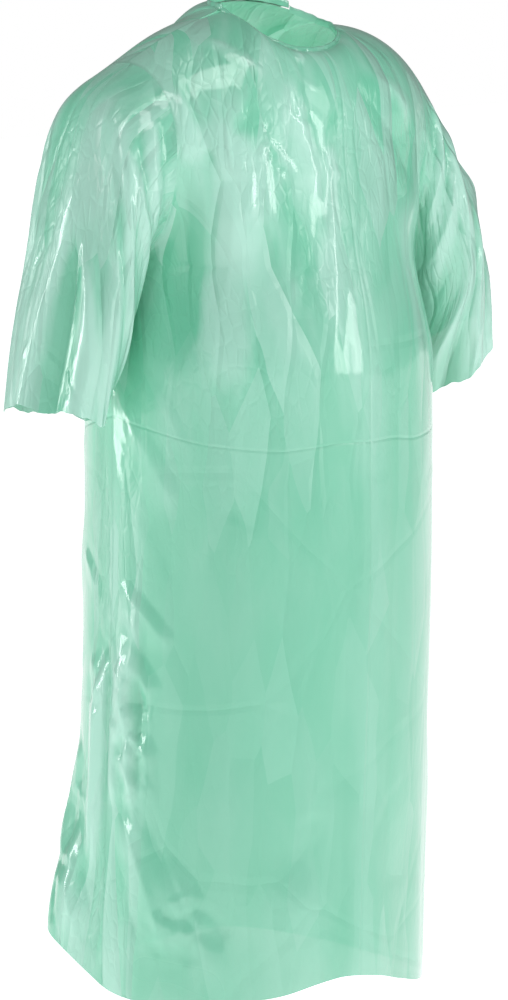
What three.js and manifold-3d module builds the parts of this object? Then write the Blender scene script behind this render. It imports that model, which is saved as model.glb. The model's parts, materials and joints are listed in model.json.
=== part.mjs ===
import * as THREE from 'three';
import * as BufferGeometryUtils from 'three/addons/utils/BufferGeometryUtils.js';
import Module from 'manifold-3d';

// Patient gown of welded plastic film, in millimetres, +Z up.
// The origin is the middle of the shoulder line, where the wearer carries the gown.
// The wearer faces -Y, so the wearer's right hand is at -X. A drop is a distance below the origin.

const wasm = await Module();
wasm.setup();

// Driving dimensions: film and joins
const WALL = 1.4;
const SEAM_GAP = 0.8;
const LAP_GAP = 5;

// Driving dimensions: body
const GOWN_LENGTH = 1163;
const BODY_HALF_WIDTH = 222;
const FRONT_DEPTH = 198;
const BACK_DEPTH = 178;
const CHEST_DROP = 120;
const CHEST_FRONT_DEPTH = 150;
const CHEST_BACK_DEPTH = 120;
const CHEST_SQUARENESS = 2.6;
const DEPTH_RUN = 300;
const WAIST_RUN = 130;
const HEM_SWAY_X = -10;
const HEM_SWAY_Y = 8;

// Driving dimensions: neck and shoulders
const NECK_HALF_WIDTH = 80;
const NECK_HALF_DEPTH = 75;
const NECK_CENTRE_Y = -32;
const NECK_FRONT_HEIGHT = -33;
const NECK_BACK_HEIGHT = 18;
const NECK_RIGHT_HEIGHT = 14;
const NECK_LEFT_HEIGHT = -8;
const SHOULDER_HALF_WIDTH = 195;
const SHOULDER_DROP = 35;
const SHOULDER_CROWN = 5;
const BINDING_HEIGHT = 8;
const BINDING_INSET = 2.2;

// Driving dimensions: armholes and sleeves
const ARMPIT_DROP = 270;
const ARMHOLE_HALF_DEPTH = 90;
const ARMHOLE_CLEARANCE = 0.1;
const CUFF_HALF_DEPTH = 80;

// Driving dimensions: back closing, given as shares of the quarter turn from the middle to a side seam
const OUTER_LAP_SHARE = 0.24;
const INNER_LAP_SHARE = -0.25;
const FLAP_HINGE_SHARE = -0.35;
const FLAP_TOP_DROP = 450;
const FLAP_GAP = 1.2;

// Driving dimensions: ties
const WAIST_TIE_WIDTH = 25;
const WAIST_TIE_LENGTH = 300;
const WAIST_TIE_DROP = 415;
const TIE_CLEARANCE = 3;
const NECK_TIE_TOP_ROW = 0.03;
const NECK_TIE_LENGTH_ROWS = 0.4;
const NECK_TIE_SHARE_WIDTH = 0.075;
const KNOT_SIZE = 9;
const KNOT_PLACE = 0.3;

// Share of a panel's half width that the neck takes, and rows where the chest, armpit and waist lie
const NECK_SHARE = NECK_HALF_WIDTH / SHOULDER_HALF_WIDTH;
const PANEL_ROWS = 24;
const CHEST_ROW = 6 / PANEL_ROWS;
const ARMPIT_ROW = 12 / PANEL_ROWS;
const WAIST_ROW = 16 / PANEL_ROWS;
const WAIST_DROP = ARMPIT_DROP + WAIST_RUN;
const RIGHT = -1;
const LEFT = 1;
const FRONT = -1;
const BACK = 1;
const QUARTER = Math.PI / 2;

// The hem is raised at some bearings, and kicks outward at one. Bearings are in degrees from the
// middle of the front towards the wearer's right.
const HEM_LIFTS = [
  { bearing: 0, spread: 30, lift: 28 },
  { bearing: 122, spread: 26, lift: 66 },
  { bearing: 205, spread: 45, lift: 30 },
];
const HEM_KICK = { bearing: 118, spread: 15, reach: 34, run: 260 };

// Each neck tie is welded near the outer lap's free edge, meets the knot and ends at these shares from it.
const LEFT_NECK_TIE = { weld: 0.22, knot: 0.11, end: 0.14 };
const RIGHT_NECK_TIE = { weld: -0.1, knot: -0.02, end: -0.04 };

// Outer and under lines of each sleeve. Each point is a distance out from the body's side seam, and a
// distance below the shoulder tip for the outer line or below the armpit for the under line.
const SLEEVE_LINES = {
  right: {
    outer: [[40, 13], [78, 30], [98, 60], [113, 105], [130, 175], [141, 265], [136, 408]],
    under: [[7, 35], [9, 70], [12, 110], [21, 150], [31, 190]],
  },
  left: {
    outer: [[20, 23], [43, 73], [63, 120], [95, 155], [117, 189], [124, 255], [117, 353]],
    under: [[6, 35], [8, 70], [9, 110], [13, 155], [18, 198]],
  },
};

const FILM_COLOUR = 0x8ed6b8;
const BINDING_COLOUR = 0xa6e0c8;
const TIE_COLOUR = 0x9bdcc2;

const { clamp, degToRad, lerp, smoothstep } = THREE.MathUtils;

function bell(value, centre, spread) {
  return Math.exp(-(((value - centre) / spread) ** 2));
}

function bearingOf(share, facing) {
  return facing === FRONT ? -share * 90 : 180 + share * 90;
}

function hemDrop(share, facing) {
  const bearing = bearingOf(share, facing);
  const lifts = HEM_LIFTS.map((rise) => rise.lift * bell(bearing, rise.bearing, rise.spread));
  return GOWN_LENGTH - lifts.reduce((sum, lift) => sum + lift, 0);
}

function halfWidth(drop) {
  const widening = smoothstep(drop, ARMPIT_DROP, WAIST_DROP);
  return lerp(SHOULDER_HALF_WIDTH, BODY_HALF_WIDTH, widening);
}

function bodyDepth(drop, facing) {
  const deepening = smoothstep(drop, CHEST_DROP, CHEST_DROP + DEPTH_RUN);
  const chest = facing === FRONT ? CHEST_FRONT_DEPTH : CHEST_BACK_DEPTH;
  const waist = facing === FRONT ? FRONT_DEPTH : BACK_DEPTH;
  return lerp(chest, waist, deepening);
}

function armholeHalfDepth(drop) {
  const reach = drop < CHEST_DROP ? CHEST_DROP - SHOULDER_DROP : ARMPIT_DROP - CHEST_DROP;
  const share = clamp((drop - CHEST_DROP) / reach, -1, 1);
  return ARMHOLE_HALF_DEPTH * Math.sqrt(1 - share * share);
}

// A point on the body at one height; share runs from -1 at the wearer's right seam to 1 at the left.
function sectionPoint(share, drop, facing) {
  const edge = armholeHalfDepth(drop);
  const reach = bodyDepth(drop, facing) - edge;
  const rounding = smoothstep(drop, CHEST_DROP, ARMPIT_DROP);
  const chest = 1 - Math.abs(share) ** CHEST_SQUARENESS;
  const across = lerp(share, Math.sin(share * QUARTER), rounding);
  const forward = lerp(chest, Math.cos(share * QUARTER), rounding);
  const sway = smoothstep(drop, GOWN_LENGTH / 2, GOWN_LENGTH);
  const point = new THREE.Vector3(
    halfWidth(drop) * across + HEM_SWAY_X * sway,
    facing * (edge + reach * forward + SEAM_GAP / 2) + HEM_SWAY_Y * sway,
    -drop,
  );
  return point.add(hemKick(share, drop, facing));
}

function hemKick(share, drop, facing) {
  const bearing = bearingOf(share, facing);
  const low = hemDrop(share, facing);
  const amount = HEM_KICK.reach * bell(bearing, HEM_KICK.bearing, HEM_KICK.spread);
  const strength = amount * smoothstep(drop, low - HEM_KICK.run, low) ** 2;
  const turn = degToRad(HEM_KICK.bearing);
  return new THREE.Vector3(-Math.sin(turn) * strength, -Math.cos(turn) * strength, 0);
}

// A point on the neck opening; the angle starts at the front and grows towards the wearer's right.
function neckPoint(angle) {
  const side = Math.sin(angle) > 0 ? NECK_RIGHT_HEIGHT : NECK_LEFT_HEIGHT;
  const end = Math.cos(angle) > 0 ? NECK_FRONT_HEIGHT : NECK_BACK_HEIGHT;
  const blend = Math.abs(Math.cos(angle)) ** 1.3;
  const levelled = lerp((NECK_RIGHT_HEIGHT + NECK_LEFT_HEIGHT) / 2, side, Math.abs(Math.sin(angle)));
  return new THREE.Vector3(
    -NECK_HALF_WIDTH * Math.sin(angle),
    NECK_CENTRE_Y - NECK_HALF_DEPTH * Math.cos(angle),
    lerp(levelled, end, blend),
  );
}

// The top edge of a panel: half of the neck opening, then the shoulder line out to the tip.
function topPoint(share, facing) {
  const within = clamp(share / NECK_SHARE, -1, 1) * QUARTER;
  const neck = neckPoint(facing === FRONT ? -within : Math.PI + within);
  const along = clamp((Math.abs(share) - NECK_SHARE) / (1 - NECK_SHARE), 0, 1);
  const tip = new THREE.Vector3(Math.sign(share) * SHOULDER_HALF_WIDTH, 0, -SHOULDER_DROP);
  const point = neck.lerp(tip, along);
  point.z += SHOULDER_CROWN * Math.sin(along * Math.PI);
  point.y += facing * SEAM_GAP / 2;
  return point;
}

// A point of the gown's body: row 0 is the top edge and row 1 the hem.
function bodyPoint(share, row, facing) {
  if (row < CHEST_ROW) {
    const angle = (row / CHEST_ROW) * QUARTER;
    const top = topPoint(share, facing);
    const chest = sectionPoint(share, CHEST_DROP, facing);
    const outward = Math.sin(angle);
    const downward = 1 - Math.cos(angle);
    return new THREE.Vector3(
      lerp(top.x, chest.x, outward),
      lerp(top.y, chest.y, outward),
      lerp(top.z, chest.z, downward),
    );
  }
  return sectionPoint(share, dropOfRow(share, row, facing), facing);
}

function dropOfRow(share, row, facing) {
  if (row < ARMPIT_ROW) {
    const angle = ((row - CHEST_ROW) / (ARMPIT_ROW - CHEST_ROW)) * QUARTER;
    return lerp(CHEST_DROP, ARMPIT_DROP, Math.sin(angle));
  }
  if (row < WAIST_ROW) {
    return lerp(ARMPIT_DROP, WAIST_DROP, (row - ARMPIT_ROW) / (WAIST_ROW - ARMPIT_ROW));
  }
  return lerp(WAIST_DROP, hemDrop(share, facing), (row - WAIST_ROW) / (1 - WAIST_ROW));
}

// The row of a drop that lies below the waist.
function rowOfDrop(share, drop, facing) {
  const below = (drop - WAIST_DROP) / (hemDrop(share, facing) - WAIST_DROP);
  return lerp(WAIST_ROW, 1, below);
}

function normalAt(surface, u, v) {
  const step = 0.004;
  const du = surface(u + step, v).sub(surface(u - step, v));
  const dv = surface(u, v + step).sub(surface(u, v - step));
  return dv.cross(du).normalize();
}

// Moves every vertex of a flat box onto a surface, which gives a thin closed sheet.
function sheetOn(surface, columns, rows, thickness = WALL) {
  const geometry = new THREE.BoxGeometry(1, 1, 1, columns, 1, rows);
  const place = geometry.attributes.position;
  for (let i = 0; i < place.count; i += 1) {
    const u = place.getX(i) + 0.5;
    const v = place.getZ(i) + 0.5;
    const point = surface(u, v);
    point.addScaledVector(normalAt(surface, u, v), place.getY(i) * thickness);
    place.setXYZ(i, point.x, point.y, point.z);
  }
  geometry.computeVertexNormals();
  return geometry;
}

function raisedFrom(surface, facing, height) {
  return (u, v) => {
    const outward = normalAt(surface, u, v).multiplyScalar(-facing);
    return surface(u, v).addScaledVector(outward, height(u));
  };
}

// Shares at even steps of u, so that a column of a sheet lies on each stop.
function shareAt(stops, u) {
  const step = clamp(Math.floor(u * (stops.length - 1)), 0, stops.length - 2);
  return lerp(stops[step], stops[step + 1], u * (stops.length - 1) - step);
}

function bodySurface(stops, facing) {
  return (u, v) => bodyPoint(shareAt(stops, u), v, facing);
}

function lapHeight(share) {
  return LAP_GAP * smoothstep(share, -0.8, INNER_LAP_SHARE - 0.08);
}

function outerBackSurface(stops) {
  return raisedFrom(bodySurface(stops, BACK), BACK, (u) => lapHeight(shareAt(stops, u)));
}

// The flap's area on the outer back surface, where u and v each run from 0 to 1.
function flapSurface(fromShare, topDrop) {
  const outer = outerBackSurface([fromShare, OUTER_LAP_SHARE]);
  return (u, v) => {
    const share = lerp(fromShare, OUTER_LAP_SHARE, u);
    return outer(u, lerp(rowOfDrop(share, topDrop, BACK), 1, v));
  };
}

function toManifold(geometry) {
  const bare = geometry.clone();
  bare.deleteAttribute('normal');
  bare.deleteAttribute('uv');
  const merged = BufferGeometryUtils.mergeVertices(bare, 1e-3);
  return new wasm.Manifold(new wasm.Mesh({
    numProp: 3,
    vertProperties: new Float32Array(merged.attributes.position.array),
    triVerts: new Uint32Array(merged.index.array),
  }));
}

function toGeometry(manifold) {
  const mesh = manifold.getMesh();
  const geometry = new THREE.BufferGeometry();
  geometry.setAttribute('position', new THREE.BufferAttribute(mesh.vertProperties, 3));
  geometry.setIndex(new THREE.BufferAttribute(mesh.triVerts, 1));
  geometry.computeVertexNormals();
  return geometry;
}

function frontPanel() {
  return sheetOn(bodySurface([-1, -NECK_SHARE, 0, NECK_SHARE, 1], FRONT), 28, PANEL_ROWS);
}

function leftBackPanel() {
  return sheetOn(bodySurface([INNER_LAP_SHARE, NECK_SHARE, 1], BACK), 16, PANEL_ROWS);
}

// The outer back panel, with the opening that its hinged flap fills.
function rightBackPanel() {
  const whole = sheetOn(outerBackSurface([-1, -NECK_SHARE, OUTER_LAP_SHARE]), 18, PANEL_ROWS);
  const cutter = flapCutter();
  return toGeometry(toManifold(whole).subtract(toManifold(cutter)));
}

// A thick block that holds the whole flap and runs past its free edge and hem.
function flapCutter() {
  const hingeShare = FLAP_HINGE_SHARE - FLAP_GAP / (BODY_HALF_WIDTH * QUARTER);
  const past = OUTER_LAP_SHARE + 0.1;
  const outer = outerBackSurface([hingeShare, past]);
  const surface = (u, v) => {
    const drop = lerp(FLAP_TOP_DROP, GOWN_LENGTH + 4 * LAP_GAP, v);
    return outer(u, rowOfDrop(lerp(hingeShare, past, u), drop, BACK));
  };
  return sheetOn(surface, 12, 12, 2 * LAP_GAP);
}

function flap() {
  return sheetOn(flapSurface(FLAP_HINGE_SHARE, FLAP_TOP_DROP + FLAP_GAP), 10, 10);
}

function sleeveCurve(side, points, top) {
  const placed = [[WALL + ARMHOLE_CLEARANCE, 0], ...points].map(([out, below]) => {
    const drop = top + below;
    return new THREE.Vector3(side * (halfWidth(drop) + out), 0, -drop);
  });
  return new THREE.CatmullRomCurve3(placed, false, 'centripetal');
}

// An open tube from the armhole to the cuff, made of a ring profile that closes on itself.
function sleeve(side, lines) {
  const outer = sleeveCurve(side, lines.outer, SHOULDER_DROP);
  const under = sleeveCurve(side, lines.under, ARMPIT_DROP);
  const middleShare = (CHEST_DROP - SHOULDER_DROP) / (ARMPIT_DROP - SHOULDER_DROP);
  const surface = (turn, along) => {
    const high = outer.getPointAt(along);
    const low = under.getPointAt(along);
    const middle = high.clone().lerp(low, lerp(middleShare, 0.5, along));
    const lift = Math.cos(turn);
    const arm = (lift > 0 ? high : low).sub(middle).multiplyScalar(Math.abs(lift));
    const depth = lerp(ARMHOLE_HALF_DEPTH, CUFF_HALF_DEPTH, along);
    return middle.add(arm).add(new THREE.Vector3(0, side * Math.sin(turn) * depth, 0));
  };
  return tubeOn(surface, 28, 14);
}

function tubeNormal(surface, turn, along) {
  const step = 0.004;
  const around = surface(turn + step, along).sub(surface(turn - step, along));
  const down = surface(turn, Math.min(along + step, 1)).sub(surface(turn, Math.max(along - step, 0)));
  return around.cross(down).normalize();
}

function tubeOn(surface, segments, steps) {
  const profile = [];
  for (let i = 0; i <= steps; i += 1) {
    profile.push(new THREE.Vector2(2, i / steps));
  }
  for (let i = steps; i >= 0; i -= 1) {
    profile.push(new THREE.Vector2(1, i / steps));
  }
  profile.push(profile[0].clone());
  const geometry = new THREE.LatheGeometry(profile, segments);
  const place = geometry.attributes.position;
  for (let i = 0; i < place.count; i += 1) {
    const turn = Math.atan2(place.getX(i), place.getZ(i));
    const radius = Math.hypot(place.getX(i), place.getZ(i));
    const along = clamp(place.getY(i), 0, 1);
    const point = surface(turn, along);
    point.addScaledVector(tubeNormal(surface, turn, along), (radius - 1.5) * WALL);
    place.setXYZ(i, point.x, point.y, point.z);
  }
  geometry.computeVertexNormals();
  return geometry;
}

// A band inside the neck edge, once round, with its ends at the outer lap's free edge.
function neckBinding() {
  const lapAngle = (OUTER_LAP_SHARE / NECK_SHARE) * QUARTER;
  const endGap = SEAM_GAP / NECK_HALF_WIDTH;
  const surface = (u, v) => {
    const angle = lerp(lapAngle - Math.PI + endGap, lapAngle + Math.PI - endGap, u);
    const point = neckPoint(angle);
    const centre = new THREE.Vector3(0, NECK_CENTRE_Y, point.z);
    point.add(centre.sub(point).setLength(BINDING_INSET));
    const onOuter = angle > QUARTER;
    const lap = onOuter ? lapHeight(((angle - Math.PI) / QUARTER) * NECK_SHARE) : 0;
    point.z += lerp(-BINDING_HEIGHT / 3, BINDING_HEIGHT + lap, v);
    return point;
  };
  return sheetOn(surface, 56, 1);
}

// A flat tie that lies down the upper back, from its weld by way of the knot to its loose end.
function neckTie(place) {
  const centreLine = (v) => {
    const offset = v < KNOT_PLACE
      ? lerp(place.weld, place.knot, v / KNOT_PLACE)
      : lerp(place.knot, place.end, (v - KNOT_PLACE) / (1 - KNOT_PLACE));
    return OUTER_LAP_SHARE + offset;
  };
  const surface = (u, v) => {
    const share = centreLine(v) + (u - 0.5) * NECK_TIE_SHARE_WIDTH;
    return bodyPoint(share, NECK_TIE_TOP_ROW + NECK_TIE_LENGTH_ROWS * v, BACK);
  };
  const lifted = raisedFrom(surface, BACK, () => LAP_GAP + WALL + TIE_CLEARANCE);
  return sheetOn(lifted, 1, 14);
}

function knot(share) {
  const row = NECK_TIE_TOP_ROW + NECK_TIE_LENGTH_ROWS * KNOT_PLACE;
  const surface = (u, v) => bodyPoint(share + u, row + v, BACK);
  const outward = normalAt(surface, 0, 0).multiplyScalar(-BACK);
  const height = LAP_GAP + WALL + TIE_CLEARANCE + KNOT_SIZE / 2;
  const place = surface(0, 0).addScaledVector(outward, height);
  const geometry = new THREE.SphereGeometry(KNOT_SIZE, 12, 8);
  geometry.translate(place.x, place.y, place.z);
  return geometry;
}

// The left tie carries the knot, which the right tie's end passes under.
function leftNeckTie() {
  const strip = toManifold(neckTie(LEFT_NECK_TIE));
  const tied = toManifold(knot(OUTER_LAP_SHARE + LEFT_NECK_TIE.knot));
  return toGeometry(strip.add(tied));
}

// A waist tie hangs plumb, just behind the back, from an edge at the given distance to the left.
function waistTie(fromX) {
  const share = Math.asin(fromX / BODY_HALF_WIDTH) / QUARTER;
  const row = rowOfDrop(share, WAIST_TIE_DROP + WAIST_TIE_LENGTH, BACK);
  const back = bodyPoint(share, row, BACK).y;
  const geometry = new THREE.BoxGeometry(WAIST_TIE_WIDTH, WALL, WAIST_TIE_LENGTH);
  geometry.translate(
    fromX + WAIST_TIE_WIDTH / 2,
    back + LAP_GAP + WALL + TIE_CLEARANCE,
    -WAIST_TIE_DROP - WAIST_TIE_LENGTH / 2,
  );
  return geometry;
}

function piece(name, geometry, colour, roughness) {
  const material = new THREE.MeshStandardMaterial({ color: colour, roughness, metalness: 0 });
  const mesh = new THREE.Mesh(geometry, material);
  mesh.name = name;
  return mesh;
}

const lapEdgeX = BODY_HALF_WIDTH * Math.sin(OUTER_LAP_SHARE * QUARTER);
const tieFilm = [TIE_COLOUR, 0.3];
const film = [FILM_COLOUR, 0.25];

const gown = new THREE.Group();
gown.add(
  piece('front_panel', frontPanel(), ...film),
  piece('right_back_panel', rightBackPanel(), ...film),
  piece('right_back_flap', flap(), ...film),
  piece('left_back_panel', leftBackPanel(), ...film),
  piece('right_sleeve', sleeve(RIGHT, SLEEVE_LINES.right), ...film),
  piece('left_sleeve', sleeve(LEFT, SLEEVE_LINES.left), ...film),
  piece('neck_binding', neckBinding(), BINDING_COLOUR, 0.3),
  piece('right_neck_tie', neckTie(RIGHT_NECK_TIE), ...tieFilm),
  piece('left_neck_tie', leftNeckTie(), ...tieFilm),
  piece('right_waist_tie', waistTie(lapEdgeX + TIE_CLEARANCE), ...tieFilm),
  piece('left_waist_tie', waistTie(lapEdgeX + 2 * WAIST_TIE_WIDTH), ...tieFilm),
);

export default gown;
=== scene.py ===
"""Patient gown of welded translucent film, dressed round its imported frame."""

import json
import logging
import math
from dataclasses import dataclass
from enum import Enum

import bmesh
import bpy
import numpy as np
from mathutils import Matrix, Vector

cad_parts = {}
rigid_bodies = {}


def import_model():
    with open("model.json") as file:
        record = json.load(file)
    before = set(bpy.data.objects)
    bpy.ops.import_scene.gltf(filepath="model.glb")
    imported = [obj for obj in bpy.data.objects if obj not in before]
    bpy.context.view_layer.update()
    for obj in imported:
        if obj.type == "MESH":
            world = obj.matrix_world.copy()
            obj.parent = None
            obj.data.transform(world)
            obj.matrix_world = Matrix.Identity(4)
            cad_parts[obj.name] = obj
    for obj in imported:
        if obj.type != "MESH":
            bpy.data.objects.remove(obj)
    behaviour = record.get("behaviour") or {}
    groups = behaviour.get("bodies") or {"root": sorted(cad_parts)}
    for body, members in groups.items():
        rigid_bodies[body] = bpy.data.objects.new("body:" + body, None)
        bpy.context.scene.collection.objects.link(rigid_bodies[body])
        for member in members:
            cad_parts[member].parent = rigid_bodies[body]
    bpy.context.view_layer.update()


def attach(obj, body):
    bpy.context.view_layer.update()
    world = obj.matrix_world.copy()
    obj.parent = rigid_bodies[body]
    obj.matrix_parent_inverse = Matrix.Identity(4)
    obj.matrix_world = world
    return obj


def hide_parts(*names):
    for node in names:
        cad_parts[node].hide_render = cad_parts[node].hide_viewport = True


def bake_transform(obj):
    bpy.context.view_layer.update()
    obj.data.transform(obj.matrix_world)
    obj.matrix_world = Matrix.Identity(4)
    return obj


LOG = logging.getLogger("gown")
QUARTER = math.pi / 2
MERGE_DISTANCE = 1e-6
WELD_REACH = 1e-5
TALL_CREASE = 0.008
HEM_SLACK = 0.002

Array = np.ndarray


class Side(Enum):
    """The wearer's side of a piece, as its sign along X."""

    RIGHT = -1
    LEFT = 1


class Facing(Enum):
    """Front or back of the gown, as its sign along Y."""

    FRONT = -1
    BACK = 1


def smooth(value: Array, low: float, high: float) -> Array:
    """Give a smooth step from 0 at low to 1 at high.

    Args:
        value: Where to read the step.
        low: Where the step starts.
        high: Where the step ends.

    Returns:
        The step's height at each value.
    """
    t = np.clip((value - low) / (high - low), 0.0, 1.0)
    return t * t * (3.0 - 2.0 * t)


def mix(a: Array, b: Array, share: Array) -> Array:
    """Blend a into b by a share from 0 to 1."""
    return a + (b - a) * share


def bell(value: Array, centre: float, spread: float) -> Array:
    """Give a bell curve of height 1 at centre."""
    return np.exp(-(((value - centre) / spread) ** 2))


def turned_by(bearing: Array, start: float) -> Array:
    """Degrees from one bearing to another, the shorter way round."""
    return (bearing - start + 180.0) % 360.0 - 180.0


def ragged(place: Array) -> Array:
    """Give the uneven run of a cut edge, in metres, at angles along it."""
    waves = ((2.0, 0.0030, 0.6), (5.0, 0.0026, 2.1), (9.0, 0.0016, 0.4), (23.0, 0.0007, 1.3))
    return sum(high * np.sin(count * place + shift) for count, high, shift in waves)


@dataclass(frozen=True)
class Rise:
    """A stretch of hem that hangs higher than the rest.

    Bearings are in degrees from the middle of the front to the wearer's right.
    """

    bearing: float
    spread: float
    lift: float


@dataclass(frozen=True)
class GownShape:
    """The worn shape of the gown: the surface that every film lies on, in metres."""

    length: float = 1.163
    half_width: float = 0.222
    front_depth: float = 0.198
    back_depth: float = 0.178
    chest_drop: float = 0.120
    chest_front_depth: float = 0.150
    chest_back_depth: float = 0.120
    chest_squareness: float = 2.6
    depth_run: float = 0.300
    waist_run: float = 0.130
    sway: tuple[float, float] = (-0.010, 0.008)
    neck_half_width: float = 0.080
    neck_half_depth: float = 0.075
    neck_centre: float = -0.032
    neck_front: float = -0.033
    neck_back: float = 0.018
    neck_right: float = 0.014
    neck_left: float = -0.008
    shoulder_half: float = 0.195
    shoulder_drop: float = 0.035
    shoulder_crown: float = 0.005
    armpit_drop: float = 0.270
    armhole_half_depth: float = 0.090
    cuff_half_depth: float = 0.074
    outer_lap: float = 0.24
    inner_lap: float = -0.25
    lap_gap: float = 0.005
    lap_start: float = -0.55
    kick_bearing: float = 118.0
    kick_spread: float = 15.0
    kick_reach: float = 0.034
    kick_run: float = 0.260
    rises: tuple[Rise, ...] = (
        Rise(0.0, 30.0, 0.028),
        Rise(122.0, 26.0, 0.074),
        Rise(205.0, 45.0, 0.030),
    )

    @property
    def neck_share(self) -> float:
        """Share of a panel's half width that the neck takes."""
        return self.neck_half_width / self.shoulder_half

    def bearing(self, share: Array, facing: Facing) -> Array:
        """Turn a share across a panel into a bearing in degrees."""
        return -share * 90.0 if facing is Facing.FRONT else 180.0 + share * 90.0

    def hem_drop(self, share: Array, facing: Facing) -> Array:
        """Distance from the shoulder line down to the hem.

        Args:
            share: Position across the panel, from -1 at the right seam to 1 at the left seam.
            facing: Front or back.

        Returns:
            Metres, for each share.
        """
        bearing = self.bearing(share, facing)
        lifts = sum(r.lift * bell(turned_by(bearing, r.bearing), 0.0, r.spread) for r in self.rises)
        return self.length - lifts - 0.35 * ragged(np.radians(bearing)) - HEM_SLACK

    def width_at(self, drop: Array) -> Array:
        """Half width of the body at one height."""
        widening = smooth(drop, self.armpit_drop, self.armpit_drop + self.waist_run)
        return mix(self.shoulder_half, self.half_width, widening)

    def armhole_depth(self, drop: Array) -> Array:
        """Half the front-to-back size of the armhole at one height.

        Args:
            drop: Distance below the shoulder line.

        Returns:
            Metres, for each drop.
        """
        above = self.chest_drop - self.shoulder_drop
        below = self.armpit_drop - self.chest_drop
        reach = np.where(drop < self.chest_drop, above, below)
        share = np.clip((drop - self.chest_drop) / reach, -1.0, 1.0)
        return self.armhole_half_depth * np.sqrt(1.0 - share**2)

    def section(self, share: Array, drop: Array, facing: Facing) -> Array:
        """Points of the body at given heights.

        Args:
            share: From -1 at the wearer's right seam to 1 at the left seam.
            drop: Distance below the shoulder line.
            facing: Front or back.

        Returns:
            One row of x, y and z for each point.
        """
        edge = self.armhole_depth(drop)
        width = self.width_at(drop)
        deepening = smooth(drop, self.chest_drop, self.chest_drop + self.depth_run)
        if facing is Facing.FRONT:
            depth = mix(self.chest_front_depth, self.front_depth, deepening)
        else:
            depth = mix(self.chest_back_depth, self.back_depth, deepening)
        rounding = smooth(drop, self.chest_drop, self.armpit_drop)
        chest = 1.0 - np.abs(share) ** self.chest_squareness
        across = mix(share, np.sin(share * QUARTER), rounding)
        forward = mix(chest, np.cos(share * QUARTER), rounding)
        sway = smooth(drop, self.length / 2, self.length)
        x = width * across + self.sway[0] * sway
        y = facing.value * (edge + (depth - edge) * forward) + self.sway[1] * sway
        low = self.hem_drop(share, facing)
        kick = self.kick_reach * bell(self.bearing(share, facing), self.kick_bearing, self.kick_spread)
        kick = kick * smooth(drop, low - self.kick_run, low) ** 2
        turn = math.radians(self.kick_bearing)
        return np.stack([x - math.sin(turn) * kick, y - math.cos(turn) * kick, -drop], axis=-1)

    def neck(self, angle: Array) -> Array:
        """Points of the neck opening; the angle starts at the front, towards the wearer's right.

        Args:
            angle: Angles round the opening, in radians.

        Returns:
            One row of x, y and z for each point.
        """
        sine, cosine = np.sin(angle), np.cos(angle)
        side = np.where(sine > 0, self.neck_right, self.neck_left)
        end = np.where(cosine > 0, self.neck_front, self.neck_back)
        levelled = mix((self.neck_right + self.neck_left) / 2, side, np.abs(sine))
        z = mix(levelled, end, np.abs(cosine) ** 1.3)
        x = -self.neck_half_width * sine
        return np.stack([x, self.neck_centre - self.neck_half_depth * cosine, z], axis=-1)

    def top(self, share: Array, facing: Facing) -> Array:
        """Points of a panel's top edge: neck opening and shoulder line.

        Args:
            share: Position across the panel, from -1 at the right seam to 1 at the left seam.
            facing: Front or back.

        Returns:
            One row of x, y and z for each point.
        """
        within = np.clip(share / self.neck_share, -1.0, 1.0) * QUARTER
        neck = self.neck(-within if facing is Facing.FRONT else math.pi + within)
        along = np.clip((np.abs(share) - self.neck_share) / (1.0 - self.neck_share), 0.0, 1.0)
        tip = np.stack(
            [np.sign(share) * self.shoulder_half, 0 * share, 0 * share - self.shoulder_drop], axis=-1
        )
        point = mix(neck, tip, along[..., None])
        point[..., 2] += self.shoulder_crown * np.sin(along * math.pi)
        return point

    def yoke(self, share: Array, turn: Array, facing: Facing) -> Array:
        """Points between a panel's top edge, turn 0, and the chest line, a quarter turn.

        Args:
            share: Position across the panel, from -1 at the right seam to 1 at the left seam.
            turn: From 0 at the top edge to a quarter turn at the chest line.
            facing: Front or back.

        Returns:
            One row of x, y and z for each point.
        """
        top = self.top(share, facing)
        chest = self.section(share, self.chest_drop + 0 * share, facing)
        outward, downward = np.sin(turn), 1.0 - np.cos(turn)
        blend = np.stack([outward, outward, downward], axis=-1)
        return mix(top, chest, blend)


    def back(self, share: Array, row: Array) -> Array:
        """Points of the upper back: row 0 is the top edge, 1 the chest line and 2 the armpit.

        Args:
            share: Position across the panel, from -1 at the right seam to 1 at the left seam.
            row: Row, from 0 to 2.

        Returns:
            One row of x, y and z for each point.
        """
        high = self.yoke(share, np.clip(row, 0.0, 1.0) * QUARTER, Facing.BACK)
        below = np.sin(np.clip(row - 1.0, 0.0, 1.0) * QUARTER)
        low = self.section(share, mix(self.chest_drop, self.armpit_drop, below), Facing.BACK)
        return np.where((row < 1.0)[..., None], high, low)

    def lap_height(self, share: Array) -> Array:
        """How far the outer lap stands off the gown's surface."""
        return self.lap_gap * smooth(share, self.lap_start, self.inner_lap - 0.08)


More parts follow.
